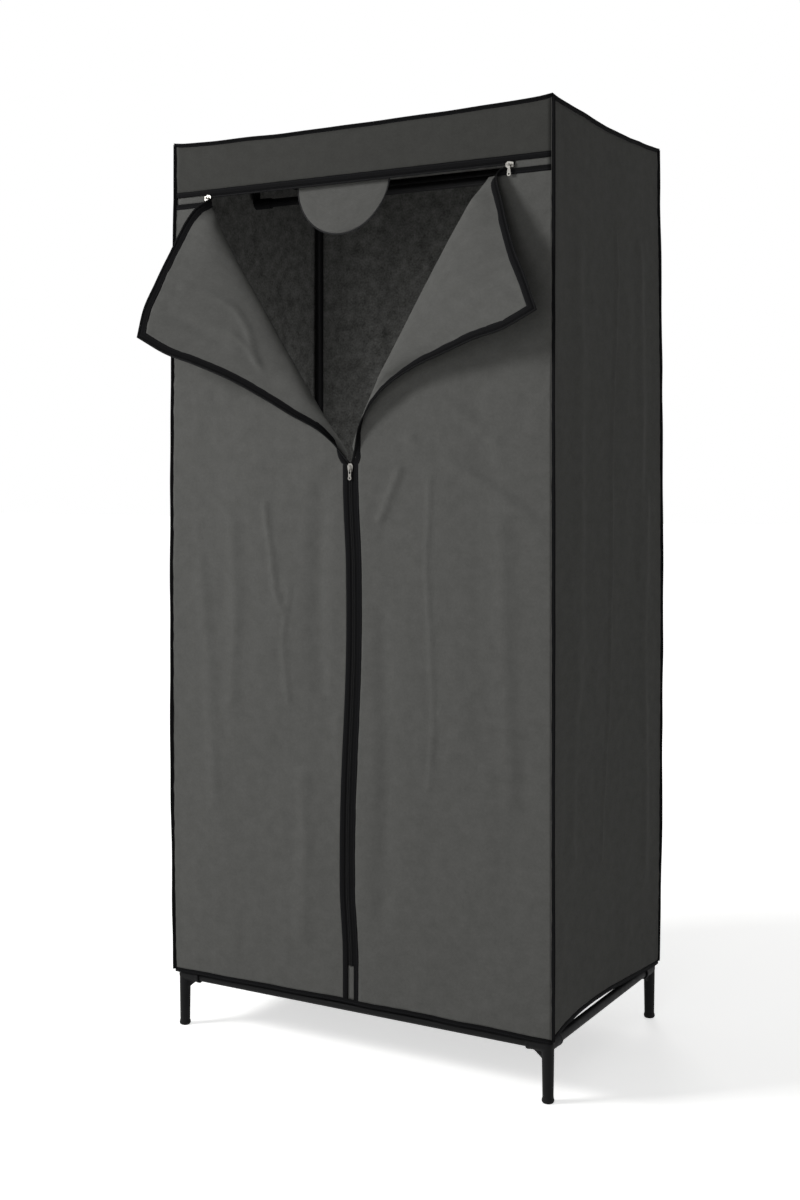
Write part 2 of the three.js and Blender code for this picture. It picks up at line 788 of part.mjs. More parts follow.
function flangedPlate(sign) {
  const half = sliderWidth / 2;
  const lip = sign * (channelHalf - sliderFlangeDrop);
  const inside = sign * channelHalf;
  const outside = sign * sliderFront;
  return bar([
    [-half, lip], [-half + sliderFlange, lip], [-half + sliderFlange, inside], [half - sliderFlange, inside],
    [half - sliderFlange, lip], [half, lip], [half, outside], [-half, outside],
  ], sliderLength).translate(0, 0, -sliderLength / 2);
}

function sliderBody() {
  const half = sliderWidth / 2;
  const tail = sliderTailWidth / 2;
  const top = sliderLength / 2;
  const face = outline([
    [-half, top / 2], [-half / 2, top], [half / 2, top], [half, top / 2], [half, 0], [tail, -top],
    [-tail, -top], [-half, 0],
  ]);
  const postTop = top - sliderPlate;
  const post = block(
    -sliderPostWidth / 2, sliderPostWidth / 2, -channelHalf - sliderPlate / 2, channelHalf + sliderPlate / 2,
    postTop - sliderPostLength, postTop,
  );
  const shell = common(join(flangedPlate(1), flangedPlate(-1), post), plate(face, 2 * sliderFront + overrun));
  const crest = bridgeWindow + bridgeThickness;
  const root = -sliderPlate / 2;
  const bridge = sideways(outline([
    [bridgeLow, root], [bridgeLow, bridgeWindow], [bridgeLow + bridgeThickness, crest],
    [bridgeHigh - bridgeThickness, crest], [bridgeHigh, bridgeWindow], [bridgeHigh, root],
    [bridgeHigh - bridgeThickness, root], [bridgeHigh - bridgeThickness, bridgeWindow],
    [bridgeLow + bridgeThickness, bridgeWindow], [bridgeLow + bridgeThickness, root],
  ]), bridgeWidth).translate(0, -sliderFront, 0);
  return join(shell, bridge);
}

// The flat tab of a pull, from the level where it starts down to its rounded end with a hole
function pullTab(start, startWidth) {
  const half = pullWidth / 2;
  const waist = pullWaist / 2;
  const end = half - pullLength;
  const middle = (start + end) / 2;
  const tab = new THREE.Shape();
  tab.moveTo(-startWidth / 2, start);
  tab.lineTo(-waist, middle);
  tab.lineTo(-half, end);
  tab.absarc(0, end, half, Math.PI, 2 * Math.PI, false);
  tab.lineTo(waist, middle);
  tab.lineTo(startWidth / 2, start);
  const hole = new THREE.Path();
  hole.absarc(0, end, pullHoleRadius, 0, 2 * Math.PI, true);
  tab.holes.push(hole);
  return plate(tab, pullThickness, pullSteps);
}

// A pull for an upright zip: a long eye whose crossbar lies under the bridge
function eyePull() {
  const half = pullEyeWidth / 2 + pullEyeRim;
  const top = pullEyeRim / 2;
  const low = top - pullEyeRim - pullEyeLength;
  const frame = plate(outline([
    [-half + top, top], [half - top, top], [half, 0], [half, low - pullEyeRim], [-half, low - pullEyeRim],
    [-half, 0],
  ]), pullThickness);
  const window = plate(outline([
    [-pullEyeWidth / 2, -top], [pullEyeWidth / 2, -top], [pullEyeWidth / 2, low], [-pullEyeWidth / 2, low],
  ]), pullThickness + overrun);
  return join(cut(frame, window), pullTab(low, 2 * half));
}

// A pull for a level zip: a ring round the bridge, turned square to the tab so that the tab hangs flat
function ringPull() {
  const half = pullThickness / 2;
  const ring = aimed(turned([
    [pullRingHole, -half], [pullRingRadius, -half], [pullRingRadius, half], [pullRingHole, half],
    [pullRingHole, -half],
  ], tubeSides), directions.x(1));
  return join(ring, pullTab(-(pullRingHole + pullRingRadius) / 2, pullWaist / 2));
}

const bridgeY = frontMid - bridgeCentre;
const crossbarY = frontMid - sliderFront - bridgeWindow / 2;
const crossbarRise = bridgeLow + bridgeThickness + pullEyeRim / 2 + gap;

addPart('centre_slider', sliderBody(), 'zinc').position.set(0, frontMid, centreSliderLevel);
addPart('centre_pull', eyePull(), 'zinc').position.set(0, crossbarY, centreSliderLevel + crossbarRise);
for (const [name, side] of [['left', -1], ['right', 1]]) {
  const slider = addPart(`${name}_slider`, sliderBody(), 'zinc');
  slider.position.set(side * headerSliderX, frontMid, headerZip);
  slider.rotation.y = -side * Math.PI / 2;
  const pull = addPart(`${name}_pull`, ringPull(), 'zinc');
  pull.position.set(side * (headerSliderX - bridgeMiddle), bridgeY, headerZip);
}

// The origin is under the middle of the whole part
wardrobe.updateMatrixWorld(true);
const reach = new THREE.Box3().setFromObject(wardrobe, true);
const middle = reach.getCenter(new THREE.Vector3());
wardrobe.position.set(-middle.x, -middle.y, -reach.min.z);

export default wardrobe;
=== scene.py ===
# Looks of a portable fabric wardrobe: non-woven cover with taped seams and zips over a push-fit tube frame.
# Lengths are in millimetres in a frame centred under the cover; each piece is turned to metres when made.
import math

import bmesh
import bpy
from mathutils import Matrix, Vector, noise


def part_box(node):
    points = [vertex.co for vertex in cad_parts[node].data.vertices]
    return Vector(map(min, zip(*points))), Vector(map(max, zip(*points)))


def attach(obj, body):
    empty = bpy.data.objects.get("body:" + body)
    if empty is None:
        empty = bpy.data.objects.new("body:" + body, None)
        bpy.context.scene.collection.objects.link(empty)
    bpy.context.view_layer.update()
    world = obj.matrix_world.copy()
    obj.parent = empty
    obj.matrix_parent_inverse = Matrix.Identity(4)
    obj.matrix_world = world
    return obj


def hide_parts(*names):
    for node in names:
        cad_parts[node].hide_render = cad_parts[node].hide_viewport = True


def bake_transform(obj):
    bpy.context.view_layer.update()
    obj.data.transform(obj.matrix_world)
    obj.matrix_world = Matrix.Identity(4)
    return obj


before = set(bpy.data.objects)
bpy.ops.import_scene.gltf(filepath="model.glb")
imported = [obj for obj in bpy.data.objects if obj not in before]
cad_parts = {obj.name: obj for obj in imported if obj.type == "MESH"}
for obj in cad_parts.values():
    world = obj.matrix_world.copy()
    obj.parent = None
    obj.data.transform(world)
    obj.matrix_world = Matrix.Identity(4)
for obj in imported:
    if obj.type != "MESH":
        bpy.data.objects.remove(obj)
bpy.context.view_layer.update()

MM = 0.001
seam_low, seam_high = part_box("top_edge_binding")
cover_middle = (seam_low + seam_high) / 2

# Cover: its faces and seams
width = 750
depth = 480
cloth = 0.6
side_x = 372.6
side_end = 238
front_y = -237.6
back_y = 237.6
seam_x = 372.5
seam_y = 237.5
seam_top = 1596.0
crown = 1597.2
hem_level = 98
hem_height = 6.5
# How far the cloths reach into the bindings, at the hem and top seam and at the zips
seam_overlap = 2
tuck = 13.0
cloth_bottom = hem_level + hem_height - seam_overlap
# Ripples fade out over this distance from a seam
edge_fade = 60

# Cover: zips and folded corners
header_zip = 1497
zip_end = 308
zip_low_end = 166.5
binding_end = 372
centre_mouth = 1019
header_mouth = 293
left_vertex = 1034
right_vertex = 1050
panel_top = 1483.5
# The share of the fold line, from its lower end, that the corner's lower edge hangs from
tip_share = 0.62
mitre_room = 19

# Half-round flap
round_radius = 93
round_rise = 14
round_x = -20
round_y = -229.4
round_level = 1506.5

# Frame
tube_radius = 8
tube_wall = 0.6
post_x = 361.1
post_y = 226.1
base_rail = 91
top_rail = 1586.3
socket_radius = 10.6
socket_rim = 11.2
socket_reach = 36
socket_rim_length = 6
socket_floor = 12
bore_radius = 8.4
post_joint = 820
neck_length = 40
outer_taper = 1.5
inner_taper = 0.7
garment_drop = 59
bracket_gap = 8
clearance = 0.3
axis_radius = 0.01
moulding_voxel = 1.0


def at(point):
    """A point of the cover's frame, in the model's metres."""
    x, y, z = point
    return Vector((cover_middle.x + x * MM, cover_middle.y + y * MM, z * MM))


# Materials


def linear(colour):
    """An sRGB hex colour as linear RGBA."""
    parts = [int(colour[i:i + 2], 16) / 255 for i in (1, 3, 5)]
    return [c / 12.92 if c <= 0.04045 else ((c + 0.055) / 1.055) ** 2.4 for c in parts] + [1]


def add(tree, kind, settings=None, **sockets):
    """Adds a node with its settings; a socket takes a value or another node's output."""
    node = tree.nodes.new(kind)
    for key, value in (settings or {}).items():
        setattr(node, key, value)
    for key, value in sockets.items():
        numbered = key[0] == "i" and key[1:].isdigit()
        socket = node.inputs[int(key[1:]) if numbered else key.replace("_", " ")]
        if isinstance(value, bpy.types.NodeSocket):
            tree.links.new(value, socket)
        else:
            socket.default_value = value
    return node


def per_metre(size):
    """A pattern's scale, for cells of this size in millimetres."""
    return 1 / (size * MM)


def finish(name, colour, roughness, specular=0.5, metallic=0.0):
    """A new material and its shader, with the plain values set on the shader's own sockets."""
    material = bpy.data.materials.new(name)
    material.use_nodes = True
    tree = material.node_tree
    shader = tree.nodes["Principled BSDF"]
    shader.inputs["Base Color"].default_value = linear(colour)
    shader.inputs["Roughness"].default_value = roughness
    shader.inputs["Specular IOR Level"].default_value = specular
    shader.inputs["Metallic"].default_value = metallic
    return material, tree, shader


def spunbond(name, light, dark, cloudy):
    """Spunbond polypropylene: bonded fibres with a grid of embossed points, matt and faintly mottled."""
    material, tree, shader = finish(name, light, 0.9, 0.1)
    place = add(tree, "ShaderNodeTexCoord").outputs["UV"]
    # Fibre clouds are 15 to 30 mm across, the finer mottle about 4 mm
    clouds = add(
        tree, "ShaderNodeTexNoise", Vector=place, Scale=per_metre(21.74), Detail=4.0, Roughness=0.62,
    )
    mottle = add(
        tree, "ShaderNodeTexNoise", Vector=place, Scale=per_metre(4.167), Detail=3.0, Roughness=0.6,
    )
    both = add(
        tree, "ShaderNodeMix", {"data_type": "FLOAT"},
        i0=0.45, i2=clouds.outputs["Fac"], i3=mottle.outputs["Fac"],
    )
    tone = add(
        tree, "ShaderNodeMapRange", Value=both.outputs[0], From_Min=0.5 - cloudy, From_Max=0.5 + cloudy,
    )
    colour = add(
        tree, "ShaderNodeMix", {"data_type": "RGBA"}, i0=tone.outputs[0], i6=linear(dark), i7=linear(light),
    )
    tree.links.new(colour.outputs[2], shader.inputs["Base Color"])
    # The embossed points stand 1.4 mm apart on the real cloth, drawn at twice that so that they show
    slanted = add(
        tree, "ShaderNodeMapping",
        Vector=place, Rotation=(0, 0, math.radians(45)), Scale=[per_metre(2 * 1.389)] * 3,
    )
    points = add(
        tree, "ShaderNodeTexVoronoi", {"feature": "F1"}, Vector=slanted.outputs[0], Scale=1.0, Randomness=0.0,
    )
    dent = add(tree, "ShaderNodeMapRange", Value=points.outputs["Distance"], From_Min=0.12, From_Max=0.34)
    # Fibres 0.02 mm thick are drawn as tangles of about 1 mm so that they show
    fibres = add(
        tree, "ShaderNodeTexNoise", Vector=place, Scale=per_metre(1.111), Detail=2.0, Roughness=0.7,
    )
    relief = add(
        tree, "ShaderNodeMix", {"data_type": "FLOAT"},
        i0=0.4, i2=dent.outputs[0], i3=fibres.outputs["Fac"],
    )
    bump = add(tree, "ShaderNodeBump", Strength=0.22, Distance=0.4 * MM, Height=relief.outputs[0])
    tree.links.new(bump.outputs[0], shader.inputs["Normal"])
    return material


def woven_tape(name, stitch_line):
    """Woven polypropylene binding: fine ribs across it and a row of lock stitches."""
    material, tree, shader = finish(name, "#101011", 0.8, 0.04)
    place = add(tree, "ShaderNodeTexCoord").outputs["UV"]
    parts = add(tree, "ShaderNodeSeparateXYZ", Vector=place)
    # Ribs 0.8 mm apart on the real tape, drawn at twice that so that they show
    ribs = add(
        tree, "ShaderNodeMath", {"operation": "MULTIPLY"},
        i0=parts.outputs["X"], i1=2 * math.pi * per_metre(2 * 0.8),
    )
    wave = add(tree, "ShaderNodeMath", {"operation": "SINE"}, i0=ribs.outputs[0])
    # Stitches 2.6 mm long and 1 mm apart, in a row along the tape
    step = add(tree, "ShaderNodeMath", {"operation": "PINGPONG"}, i0=parts.outputs["X"], i1=1.8 * MM)
    dash = add(tree, "ShaderNodeMapRange", Value=step.outputs[0], From_Min=0.3 * MM, From_Max=0.7 * MM)
    away = add(tree, "ShaderNodeMath", {"operation": "SUBTRACT"}, i0=parts.outputs["Y"], i1=stitch_line * MM)
    aside = add(tree, "ShaderNodeMath", {"operation": "ABSOLUTE"}, i0=away.outputs[0])
    row = add(tree, "ShaderNodeMapRange", Value=aside.outputs[0], From_Min=0.7 * MM, From_Max=0.3 * MM)
    thread = add(tree, "ShaderNodeMath", {"operation": "MULTIPLY"}, i0=dash.outputs[0], i1=row.outputs[0])
    # Rubbed patches about 3 mm across
    worn = add(tree, "ShaderNodeTexNoise", Vector=place, Scale=per_metre(3.333), Detail=3.0)
    base = add(
        tree, "ShaderNodeMix", {"data_type": "RGBA"},
        i0=worn.outputs["Fac"], i6=linear("#0b0b0c"), i7=linear("#141415"),
    )
    colour = add(
        tree, "ShaderNodeMix", {"data_type": "RGBA"},
        i0=thread.outputs[0], i6=base.outputs[2], i7=linear("#1e1e20"),
    )
    tree.links.new(colour.outputs[2], shader.inputs["Base Color"])
    relief = add(
        tree, "ShaderNodeMath", {"operation": "MULTIPLY_ADD"},
        i0=wave.outputs[0], i1=0.25, i2=thread.outputs[0],
    )
    bump = add(tree, "ShaderNodeBump", Strength=0.5, Distance=0.4 * MM, Height=relief.outputs[0])
    tree.links.new(bump.outputs[0], shader.inputs["Normal"])
    return material


def polyester_coil():
    """Polyester coil of a zip: a spiral whose turns catch a little light."""
    material, tree, shader = finish("polyester_zip_coil", "#0e0e0f", 0.6, 0.1)
    place = add(tree, "ShaderNodeTexCoord").outputs["UV"]
    parts = add(tree, "ShaderNodeSeparateXYZ", Vector=place)
    # Turns 1.4 mm apart
    turns = add(
        tree, "ShaderNodeMath", {"operation": "MULTIPLY"},
        i0=parts.outputs["X"], i1=2 * math.pi * per_metre(1.4),
    )
    wave = add(tree, "ShaderNodeMath", {"operation": "SINE"}, i0=turns.outputs[0])
    bump = add(tree, "ShaderNodeBump", Strength=0.9, Distance=0.6 * MM, Height=wave.outputs[0])
    tree.links.new(bump.outputs[0], shader.inputs["Normal"])
    return material


def grained(name, colour, dark, roughness, grain_size, grain_depth, specular=0.5, metallic=0.0):
    """A coated, moulded, plated or finely woven surface: an even colour with a fine grain in its relief."""
    material, tree, shader = finish(name, colour, roughness, specular, metallic)
    place = add(tree, "ShaderNodeTexCoord").outputs["Object"]
    grain = add(
        tree, "ShaderNodeTexNoise", Vector=place, Scale=per_metre(grain_size), Detail=3.0, Roughness=0.55,
    )
    # Handling leaves shinier and duller patches about 17 mm across
    wear = add(
        tree, "ShaderNodeTexNoise", Vector=place, Scale=per_metre(16.667), Detail=4.0, Roughness=0.6,
    )
    shade = add(
        tree, "ShaderNodeMix", {"data_type": "RGBA"},
        i0=wear.outputs["Fac"], i6=linear(dark), i7=linear(colour),
    )
    tree.links.new(shade.outputs[2], shader.inputs["Base Color"])
    gloss = add(
        tree, "ShaderNodeMapRange", Value=wear.outputs["Fac"], From_Min=0.3, From_Max=0.7,
        To_Min=roughness - 0.06, To_Max=roughness + 0.08,
    )
    tree.links.new(gloss.outputs[0], shader.inputs["Roughness"])
    bump = add(tree, "ShaderNodeBump", Strength=0.5, Distance=grain_depth * MM, Height=grain.outputs["Fac"])
    tree.links.new(bump.outputs[0], shader.inputs["Normal"])
    return material


cover_cloth = spunbond("spunbond_polypropylene", "#5a5a58", "#4f4f4d", 0.2)
# The header's cloth is coloured a shade darker than the rest: painted shade for the dimmer light that falls
# on the header
header_cloth = spunbond("spunbond_polypropylene_painted_shade", "#3f3f3d", "#373735", 0.2)
lining_cloth = spunbond("spunbond_polypropylene_inner_face", "#636361", "#3a3a38", 0.14)
# A binding is stitched near its inner edge, a seam's tape near its root, in millimetres from the edge
binding_tape = woven_tape("woven_polypropylene_binding", 12.8)
seam_tape = woven_tape("woven_polypropylene_seam_binding", 1.8)
# Woven polyester: matt, its 0.2 mm threads drawn at about twice that so that they show
zip_tape = grained("woven_polyester_zip_tape", "#101011", "#0b0b0c", 0.8, 0.385, 0.2, 0.04)
zip_coil = polyester_coil()
# Spun polyester thread, about 0.3 mm thick: matt and a shade lighter than the bindings
overlock = grained("spun_polyester_overlock_thread", "#19191a", "#0f0f10", 0.75, 0.333, 0.2, 0.2)
# Powder coat on steel tube: half gloss with a fine orange peel, about 0.6 mm across
coated_steel = grained("powder_coated_steel", "#0e0e0f", "#0a0a0b", 0.55, 0.556, 0.06, 0.12)
# Moulded polypropylene: a little matter than the tubes, with the mould's spark-eroded grain
moulded = grained("moulded_polypropylene", "#111112", "#0d0d0e", 0.6, 0.417, 0.08, 0.12)
# Nickel plating on die-cast zinc: bright, with faint tumbling marks
plated_zinc = grained("nickel_plated_zinc", "#92908b", "#7b7975", 0.32, 0.667, 0.04, metallic=1.0)

# Mesh making


def placed(name, data):
    """A new object in the scene."""
    obj = bpy.data.objects.new(name, data)
    bpy.context.scene.collection.objects.link(obj)
    return obj


def piece(name, points, faces, finishes, uv=None, face_finish=None):
    """A mesh object from points in the cover's frame, with a UV in metres for each point."""
    mesh = bpy.data.meshes.new(name)
    mesh.from_pydata([at(p) for p in points], [], faces)
    for material in finishes:
        mesh.materials.append(material)
    if uv:
        layer = mesh.uv_layers.new(name="cut")
        for loop in mesh.loops:
            layer.data[loop.index].uv = uv[loop.vertex_index]
    mesh.polygons.foreach_set("use_smooth", [True] * len(mesh.polygons))
    if face_finish:
        mesh.polygons.foreach_set("material_index", face_finish)
    mesh.update()
    return placed(name, mesh)


def settle(obj):
    """Turns an object's modifiers into its mesh."""
    seen = obj.evaluated_get(bpy.context.evaluated_depsgraph_get())
    mesh = bpy.data.meshes.new_from_object(seen)
    obj.modifiers.clear()
    obj.data = mesh
    return obj


def thicken(obj):
    """Gives a single layer of cloth its thickness; a second finish goes on the face behind."""
    solid = obj.modifiers.new("thickness", "SOLIDIFY")
    solid.thickness = cloth * MM
    solid.offset = 0
    solid.material_offset = len(obj.data.materials) - 1
    return settle(obj)


def grid_faces(columns, rows):
    stride = columns + 1
    corners = [row * stride + column for row in range(rows) for column in range(columns)]
    return [(a, a + 1, a + stride + 1, a + stride) for a in corners]


def sheet(name, columns, rows, place, finishes, size):
    """A cloth from a grid of points: place gives each from its shares across and up."""
    shares = [(c / columns, r / rows) for r in range(rows + 1) for c in range(columns + 1)]
    points = [place(across, up) for across, up in shares]
    uv = [(across * size[0] * MM, up * size[1] * MM) for across, up in shares]
    return thicken(piece(name, points, grid_faces(columns, rows), finishes, uv))


def mix(a, b, share):
    return a + (b - a) * share


def smooth_step(low, high, value):
    share = max(0.0, min(1.0, (value - low) / (high - low)))
    return share * share * (3 - 2 * share)


def arch(share):
    return math.sin(math.pi * max(0.0, min(1.0, share)))


def rough(x, z, size, seed):
    """Smooth random height between -1 and 1, the same at every run."""
    return noise.noise(Vector((x / size, z / size, seed * 7.31)))


def crease(x, z, line, half_width, lift):
    """How far a soft crease along a line of points lifts the cloth at x, z."""
    nearest = 1e9
    for (x0, z0), (x1, z1) in zip(line, line[1:]):
        dx, dz = x1 - x0, z1 - z0
        share = max(0.0, min(1.0, ((x - x0) * dx + (z - z0) * dz) / (dx * dx + dz * dz)))
        nearest = min(nearest, math.hypot(x - x0 - share * dx, z - z0 - share * dz))
    return lift * math.exp(-((nearest / half_width) ** 2))


# Soft creases of each cloth: the line, its half width and its lift, in millimetres
front_creases = [
    ([(-177, 947), (-162, 850), (-155, 798), (-138, 764)], 5, 3.6),
    ([(-124, 799), (-140, 711), (-127, 607)], 5, 2.4),
    ([(-248, 919), (-239, 742), (-247, 599)], 13, 2.6),
    ([(-318, 846), (-296, 631), (-284, 417)], 15, 2.6),
    ([(-60, 980), (-66, 760), (-60, 640)], 19.5, -3.9),
    ([(-27, 581), (-20, 461)], 7, 3),
    ([(-96, 480), (-92, 340), (-96, 200)], 15, 3),
    ([(154, 991), (146, 859), (154, 727), (160, 579), (151, 479)], 4, 2.2),
    ([(116, 1058), (228, 999), (318, 943), (367, 912)], 10, 4.5),
    ([(96, 1008), (58, 924)], 7, 3.3),
    ([(189, 1115), (246, 1074), (307, 1028)], 8, 2.6),
    ([(173, 609), (283, 592), (362, 587)], 6, 2.8),
    ([(282, 927), (292, 718), (301, 478)], 15, 2.4),
    ([(60, 760), (70, 520), (62, 260)], 18, -3.3),
]
side_creases = [
    ([(26, 1424), (31, 1338), (9, 1043), (5, 854), (-2, 615), (-41, 349)], 4, 3),
    ([(140, 1404), (146, 1100), (138, 820)], 16.5, 3.3),
    ([(-132, 1369), (-126, 980), (-140, 640)], 19.5, 3.9),
    ([(-170, 862), (-150, 640), (-160, 360)], 15, 3),
    ([(168, 956), (150, 700), (164, 300)], 16.5, 3.6),
    ([(-60, 620), (10, 560), (90, 600)], 9, 1.8),
    ([(-176, 420), (-120, 330), (-60, 300)], 9, 2.4),
]
back_creases = [
    ([(-116, 1540), (-113, 1350), (-118, 1060)], 5, 3.9),
    ([(60, 1560), (64, 1200), (58, 300)], 5, 3.3),
    ([(-226, 1500), (-220, 900), (-230, 300)], 18, 4.5),
    ([(200, 1500), (208, 1000), (198, 260)], 16.5, -4.5),
    ([(-60, 1240), (30, 1190), (140, 1240)], 19.5, 3),
]


def seam_pucker(x, z, from_seam, seed):
    """Small puckers that a sewn edge draws into the cloth beside it."""
    return 0.9 * math.exp(-from_seam / 16) * rough(x, z, 17, seed)


def billow(x, z, creases, seed):
    """How far the ripples and creases of a cloth stand out of its plane."""
    waves = 3.0 * rough(x, z * 0.35, 120, seed) + 1.6 * rough(x, z * 0.55, 45, seed + 3)
    waves += 0.5 * rough(x, z, 18, seed + 5)
    return waves + sum(crease(x, z, *each) for each in creases)


# The four faces with the seeds of their ripples; shares run from the left, or from the front on a side
faces_round = {"front": 1, "right": 4, "back": 6, "left": 2}


def top_drop(face, share):
    """How far the top seam hangs below its corners."""
    wide = face in ("front", "back")
    dip = 5.5 * arch(share) ** 0.8 if wide else 6.5 * arch(share ** 1.15) ** 1.6
    peak = 2.6 * math.exp(-(width if wide else depth) * min(share, 1 - share) / 11)
    return dip - peak + 1.8 * rough(share * 300, 0, 34, faces_round[face]) * arch(share) ** 0.5


def hem_rise(face, share):
    """How far the hem is drawn up above its corners."""
    if face in ("front", "back"):
        wave = 1.8 * rough(share * width, 0, 75, 90 + faces_round[face])
        return 2.5 * arch(share) + wave * arch(share) ** 0.5
    return 19 * arch(share ** 0.63) ** 1.2


def seam_bow(side, end, z):
    """How far an upright seam bows outwards between the hem and the header."""
    reach = {(-1, -1): 8, (1, 1): 6, (-1, 1): 4, (1, -1): 0}[(side, end)]
    return reach * arch((z - hem_level) / (header_zip - hem_level)) ** 0.7


# Side and back cloths


def side_cloth(side):
    face = "left" if side < 0 else "right"
    seed = faces_round[face]

    def place(across, up):
        y = mix(-side_end, side_end, across)
        hem = cloth_bottom + hem_rise(face, across)
        z = mix(hem, seam_top - seam_overlap - top_drop(face, across), up)
        edge = min(y + side_end, side_end - y, z - hem + 6, seam_top - z + 6)
        fade = smooth_step(0, edge_fade, edge)
        out = fade * billow(y * side, z, side_creases, seed) + seam_pucker(y, z, edge, seed)
        bow = mix(seam_bow(side, -1, z), seam_bow(side, 1, z), across)
        return (side * (side_x + min(out, 7.0) + bow), y, z)

    return place


cloth_faces = {-1: [lining_cloth, cover_cloth], 1: [cover_cloth, lining_cloth]}
for name, side in (("left", -1), ("right", 1)):
    panel = sheet(f"{name}_side_cloth", 90, 250, side_cloth(side), cloth_faces[side], (476, 1490))
    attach(panel, "wardrobe_body")
    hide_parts(f"cover_{name}")


def back_place(across, up):
    seed = faces_round["back"]
    hem = cloth_bottom + hem_rise("back", across)
    z = mix(hem, seam_top - seam_overlap - top_drop("back", across), up)
    x = mix(-seam_x - seam_bow(-1, 1, z), seam_x + seam_bow(1, 1, z), across)
    edge = min(seam_x - abs(x), z - hem + 6, seam_top - z + 6)
    out = smooth_step(0, edge_fade, edge) * billow(x, z, back_creases, seed)
    out += seam_pucker(x, z, max(edge, 0), seed)
    return (x, back_y + max(min(out, 5.0), -4.0), z)


back = sheet("back_cloth", 110, 190, back_place, [lining_cloth, cover_cloth], (745, 1490))
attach(back, "wardrobe_body")
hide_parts("cover_back")


def top_place(across, along):
    x = mix(-seam_x, seam_x, across)
    y = mix(-seam_y, seam_y, along)
    edge = min(seam_x - abs(x), seam_y - abs(y))
    if seam_x - abs(x) < seam_y - abs(y):
        drop = top_drop("left" if x < 0 else "right", along)
    else:
        drop = top_drop("front" if y < 0 else "back", across)
    over_rail = smooth_step(0, 9, edge)
    sag = 7 * arch(across) * arch(along)
    ripple = 0.8 * rough(x, y, 60, 9) * smooth_step(0, 50, edge)
    return (x, y, mix(seam_top - drop, crown - sag + ripple, over_rail))


top = sheet("top_cloth", 76, 50, top_place, [cover_cloth, lining_cloth], (745, 475))
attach(top, "wardrobe_body")
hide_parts("cover_top")


def header_place(across, up):
    x = mix(-seam_x, seam_x, across)
    z = mix(header_zip + 14, seam_top - seam_overlap - top_drop("front", across), up)
    edge = min(seam_x - abs(x), z - header_zip - 8, seam_top - z + 4)
    waves = 2.0 * rough(x, z, 90, 12) + 0.5 * rough(x, z, 28, 13)
    out = smooth_step(0, 40, edge) * waves + 2.0 * arch(up) * arch(across) + seam_pucker(x, z, edge, 12)
    return (x, front_y - out, z)


# The header band takes the darker cloth, whose darker colour is painted shade
header = sheet("header_cloth", 90, 14, header_place, [header_cloth], (745, 86))
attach(header, "wardrobe_body")
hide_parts("header_band")

# Front cloths: one sheet a side, from the corner seam to the centre zip, with its top corner folded outwards.
# The rail is the fold's own line; the rim is the zip line along the folded corner, by way of its tip.

left_rail = [
    (-3, -238.6, left_vertex), (-9, -239.5, 1044), (-26, -240.5, 1067), (-53, -242.5, 1105),
    (-91, -245, 1163), (-136, -246, 1231), (-180, -246, 1300), (-225, -246, 1369), (-262, -244.5, 1429),
    (-291, -239.5, 1480),
]
right_rail = [
    (4, -236.8, right_vertex), (9, -238.2, 1065), (21, -240.5, 1092), (43, -243.5, 1133),
    (73, -245, 1183), (109, -246, 1244), (151, -246, 1315), (195, -246, 1385), (235, -244, 1444),
    (263, -239.5, 1480),
]
left_lower_rim = [
    (-1, -238, 1020), (-7, -243, 1029), (-15, -250, 1041), (-31, -258, 1059), (-57, -264, 1079),
    (-101, -270, 1101), (-153, -279, 1131), (-217, -291, 1165), (-286, -305, 1194), (-338, -315, 1213),
    (-393, -325, 1244),
]
left_upper_rim = [
    (-393, -325, 1244), (-387, -314, 1296), (-371, -303, 1340), (-360, -294, 1371), (-350, -286, 1397),
    (-339, -277, 1427), (-326, -268, 1457), (-310, -262, 1478), (-295, -254, 1489),
    (-292.5, -241, 1496.5),
]
right_lower_rim = [
    (1, -238, 1020), (8, -241.5, 1040), (15, -247, 1059), (22, -251.5, 1077), (36, -256, 1099),
    (59, -260, 1126), (94, -263, 1153), (144, -268, 1177), (204, -279, 1196), (262, -291, 1214),
    (321, -307, 1226), (386, -322, 1252),
]
right_upper_rim = [
    (386, -322, 1252), (359, -305, 1306), (344, -295, 1332), (331, -286, 1354), (319, -278, 1382),
    (308, -270, 1409), (298, -263, 1439), (288, -257, 1464), (283, -249, 1485), (294, -239.5, 1496),
]


def smooth_line(points, spacing):
    """A Catmull-Rom curve through the points, sampled evenly."""
    steps = 12
    knots = [Vector(p) for p in points]
    knots = [2 * knots[0] - knots[1]] + knots + [2 * knots[-1] - knots[-2]]
    fine = []
    for a, b, c, d in zip(knots, knots[1:], knots[2:], knots[3:]):
        for step in range(steps):
            t = step / steps
            squared, cubed = 2 * a - 5 * b + 4 * c - d, 3 * b - a - 3 * c + d
            fine.append(0.5 * (2 * b + (c - a) * t + squared * t * t + cubed * t ** 3))
    fine.append(knots[-2])
    return resampled(fine, spacing)


def resampled(line, spacing=None, count=None):
    """The same line with evenly spaced points."""
    reach = [0.0]
    for a, b in zip(line, line[1:]):
        reach.append(reach[-1] + (b - a).length)
    count = count or max(2, round(reach[-1] / spacing))
    result = []
    at_piece = 0
    for step in range(count + 1):
        wanted = reach[-1] * step / count
        while at_piece < len(line) - 2 and reach[at_piece + 1] < wanted:
            at_piece += 1
        span = reach[at_piece + 1] - reach[at_piece]
        share = (wanted - reach[at_piece]) / span if span > 1e-9 else 0.0
        result.append(line[at_piece].lerp(line[at_piece + 1], share))
    return result


def mitred(before, corner, after):
    """Direction into a corner of a tape, as long as keeps the tape's width round it."""
    back = (before - corner).normalized()
    on = (after - corner).normalized()
    middle = (back + on).normalized()
    return middle / math.sin(back.angle(middle))


